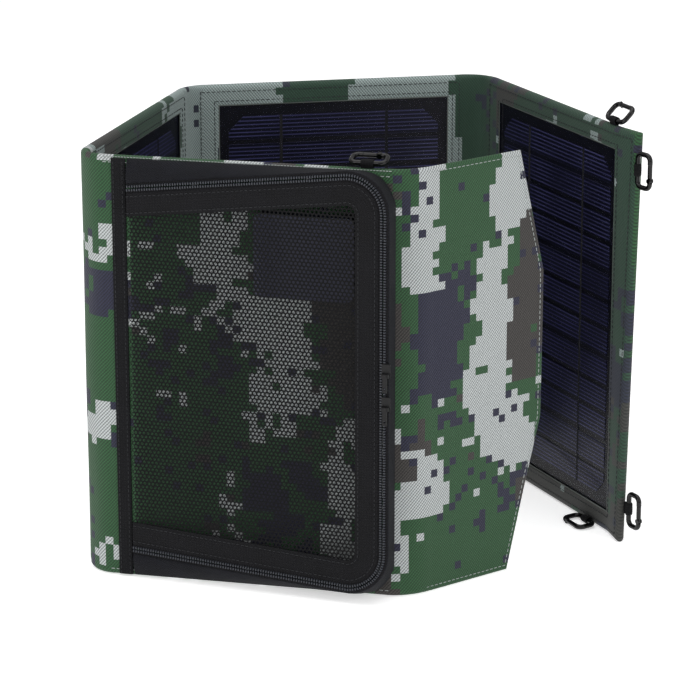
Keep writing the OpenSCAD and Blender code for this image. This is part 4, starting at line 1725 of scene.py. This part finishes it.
@dataclass
class Carabiners:
    """The six carabiners with their loops."""

    frame: dict
    places: Places
    finishes: Finishes

    def build(self) -> None:
        """Dresses each carabiner and makes its loop from the joint that it swings on."""
        panels = {"a": ("panel_a", self.places.a), "d": ("panel_d", self.places.d)}
        loops: dict[str, list[bpy.types.Object]] = {"a": [], "d": []}
        for joint in self.frame["joints"]:
            if not joint["name"].endswith("_swing") or not joint["name"].startswith("carabiner"):
                continue
            key = joint["name"][len("carabiner_") : -len("_swing")]
            body, plane = panels[key[0]]
            inwards = plane.way(0, 1)
            reach = {"top": np.array([0, 0, 1.0]), "bottom": inwards}
            away = reach.get(key.split("_")[1], plane.way(-1, 0))
            hem = HEM_SHIFT.get(key, 0.0)
            loop = WebbingLoop(
                key, body, np.array(joint["pos_m"]), np.array(joint["axis"]), away,
                self.finishes, shift=inwards * hem * MM,
            ).build()
            loops[key[0]].append(loop)
            dress(f"hook_{key}", self.finishes.steel)
            dress(f"gate_{key}", self.finishes.steel)
        for panel, made in loops.items():
            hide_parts(f"loops_{panel}")


def dress_modules(finishes: Finishes) -> None:
    """Dresses the modules' layers, the leads and the boards of all panels.

    Args:
        finishes: the charger's finishes.
    """
    for key in "bcd":
        dress(f"cells_{key}", finishes.silicon)
        dress(f"film_{key}", finishes.film)
        dress(f"backsheet_{key}", finishes.back)
    for key in "abcd":
        dress(f"bus_lead_{key}", finishes.copper)
        dress(f"board_{key}", finishes.stiff)


def dress_small_parts(finishes: Finishes) -> None:
    """Dresses the controller, the sliders, the pull tabs and the loop tape.

    Args:
        finishes: the charger's finishes.
    """
    for finish, nodes in (
        (finishes.case, ("controller_base", "controller_lid")),
        (finishes.board, ("controller_board",)),
        (finishes.nickel, ("usb_sockets",)),
        (finishes.zinc, ("slider_upper", "slider_lower", "pull_upper", "pull_lower")),
        (finishes.tape, ("loop_tape",)),
    ):
        for node in nodes:
            dress(node, finish)


# ---------- stage ----------


@dataclass
class Studio:
    """White sweep, soft boxes and the camera."""

    camera_place: tuple[float, float, float] = (0.419, -1.5736, 0.6149)
    camera_turn: tuple[float, float, float] = (73.48, 0.0, 13.0)
    lens: float = 164.3

    def build(self) -> None:
        """Sets up the floor, the lights, the world and the camera."""
        # An even white that the shadows fade into.
        sheet, _, shader = Finish("white acrylic sweep", "F6F6F6", 0.9).start()
        feed(shader, {"Emission Color": (1, 1, 1, 1), "Emission Strength": 0.5})
        mesh = bpy.data.meshes.new("floor")
        mesh.from_pydata([(-8, -8, 0), (8, -8, 0), (8, 8, 0), (-8, 8, 0)], [], [(0, 1, 2, 3)])
        mesh.materials.append(sheet)
        floor = bpy.data.objects.new("floor", mesh)
        bpy.context.scene.collection.objects.link(floor)
        self.light("overhead", (0.0, 0.1, 1.6), (0, 0, 0), 1.8, 17)
        self.light("front", (-0.9, -1.7, 0.9), (64, 0, -28), 1.3, 13)
        self.light("right", (1.5, -0.7, 0.8), (66, 0, 66), 1.0, 6)
        world = bpy.data.worlds.new("studio")
        world.use_nodes = True
        back = world.node_tree.nodes["Background"]
        feed(back, {"Color": (1, 1, 1, 1), "Strength": 0.42})
        bpy.context.scene.world = world
        bpy.context.scene.view_settings.view_transform = "Standard"
        data = bpy.data.cameras.new("camera")
        data.lens, data.sensor_width = self.lens, 36.0
        data.clip_end = 50
        camera = bpy.data.objects.new("camera", data)
        camera.location = self.camera_place
        camera.rotation_euler = [math.radians(v) for v in self.camera_turn]
        bpy.context.scene.collection.objects.link(camera)
        bpy.context.scene.camera = camera

    def light(
        self, name: str, place: tuple[float, float, float], turn: tuple[float, float, float],
        size: float, power: float,
    ) -> None:
        """Hangs a square soft box.

        Args:
            name: the light's name.
            place: its place in metres.
            turn: its turn in degrees.
            size: its side in metres.
            power: its power in watts.
        """
        data = bpy.data.lights.new(name, "AREA")
        data.shape, data.size, data.energy = "SQUARE", size, power
        lamp = bpy.data.objects.new(name, data)
        lamp.location = place
        lamp.rotation_euler = [math.radians(v) for v in turn]
        bpy.context.scene.collection.objects.link(lamp)


def folds(places: Places, sizes: Sizes, finishes: Finishes) -> list[Fold]:
    """The four soft folds: three between panels and one at the closing flap.

    Args:
        places: the panels' frames.
        sizes: the charger's sizes.
        finishes: its finishes.

    Returns:
        The folds, ready to build.
    """
    w, near = sizes.width, sizes.reach + 1.5
    # inner is the print's copy with painted shade, for the folds between the cell panels.
    camo, inner = finishes.camo, finishes.camo_painted_shade
    return [
        Fold(
            "fold_cloth_ab", "fold_ab", places.b, places.a, w - near, near,
            ("panel_b", "panel_a"), ("canvas_b", "canvas_a"), sizes, camo, pull=1.35, slack=0.5,
        ),
        Fold(
            "fold_cloth_bc", "fold_bc", places.c, places.b, w - near, near,
            ("panel_c", "panel_b"), ("canvas_c", "canvas_b"), sizes, inner, pull=1.15, slack=0.5,
        ),
        Fold(
            "fold_cloth_cd", "fold_cd", places.d, places.c, w - near, near,
            ("panel_d", "panel_c"), ("canvas_d", "canvas_c"), sizes, inner, pull=1.25, slack=0.5,
        ),
        Fold(
            "fold_cloth_flap", "fold_flap", places.a, places.flap, w - near, 13.0,
            ("panel_a", "flap"), ("canvas_a", "flap_canvas"), sizes, camo,
            second_half=1.1, middle_half=1.6, second_y=-1.0, pull=1.1, slack=0.3,
        ),
    ]


def main() -> None:
    """Builds the charger's pieces in order and reports each."""
    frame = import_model()
    sizes, finishes = Sizes(), Finishes()
    places = Places.of(frame, sizes)
    FrontPanel(places.a, sizes, finishes).build()
    for key, plane in (("b", places.b), ("c", places.c), ("d", places.d)):
        CellPanel(key, plane, sizes, finishes, free=key == "d").build()
    for fold in folds(places, sizes, finishes):
        fold.build()
    ClosingFlap(places.flap, sizes, finishes).build()
    Pocket(places.a, sizes, finishes).build()
    Carabiners(frame, places, finishes).build()
    dress_modules(finishes)
    dress_small_parts(finishes)
    Studio().build()


if __name__ == "__main__":
    logging.basicConfig(level=logging.INFO, format="%(message)s")
    main()
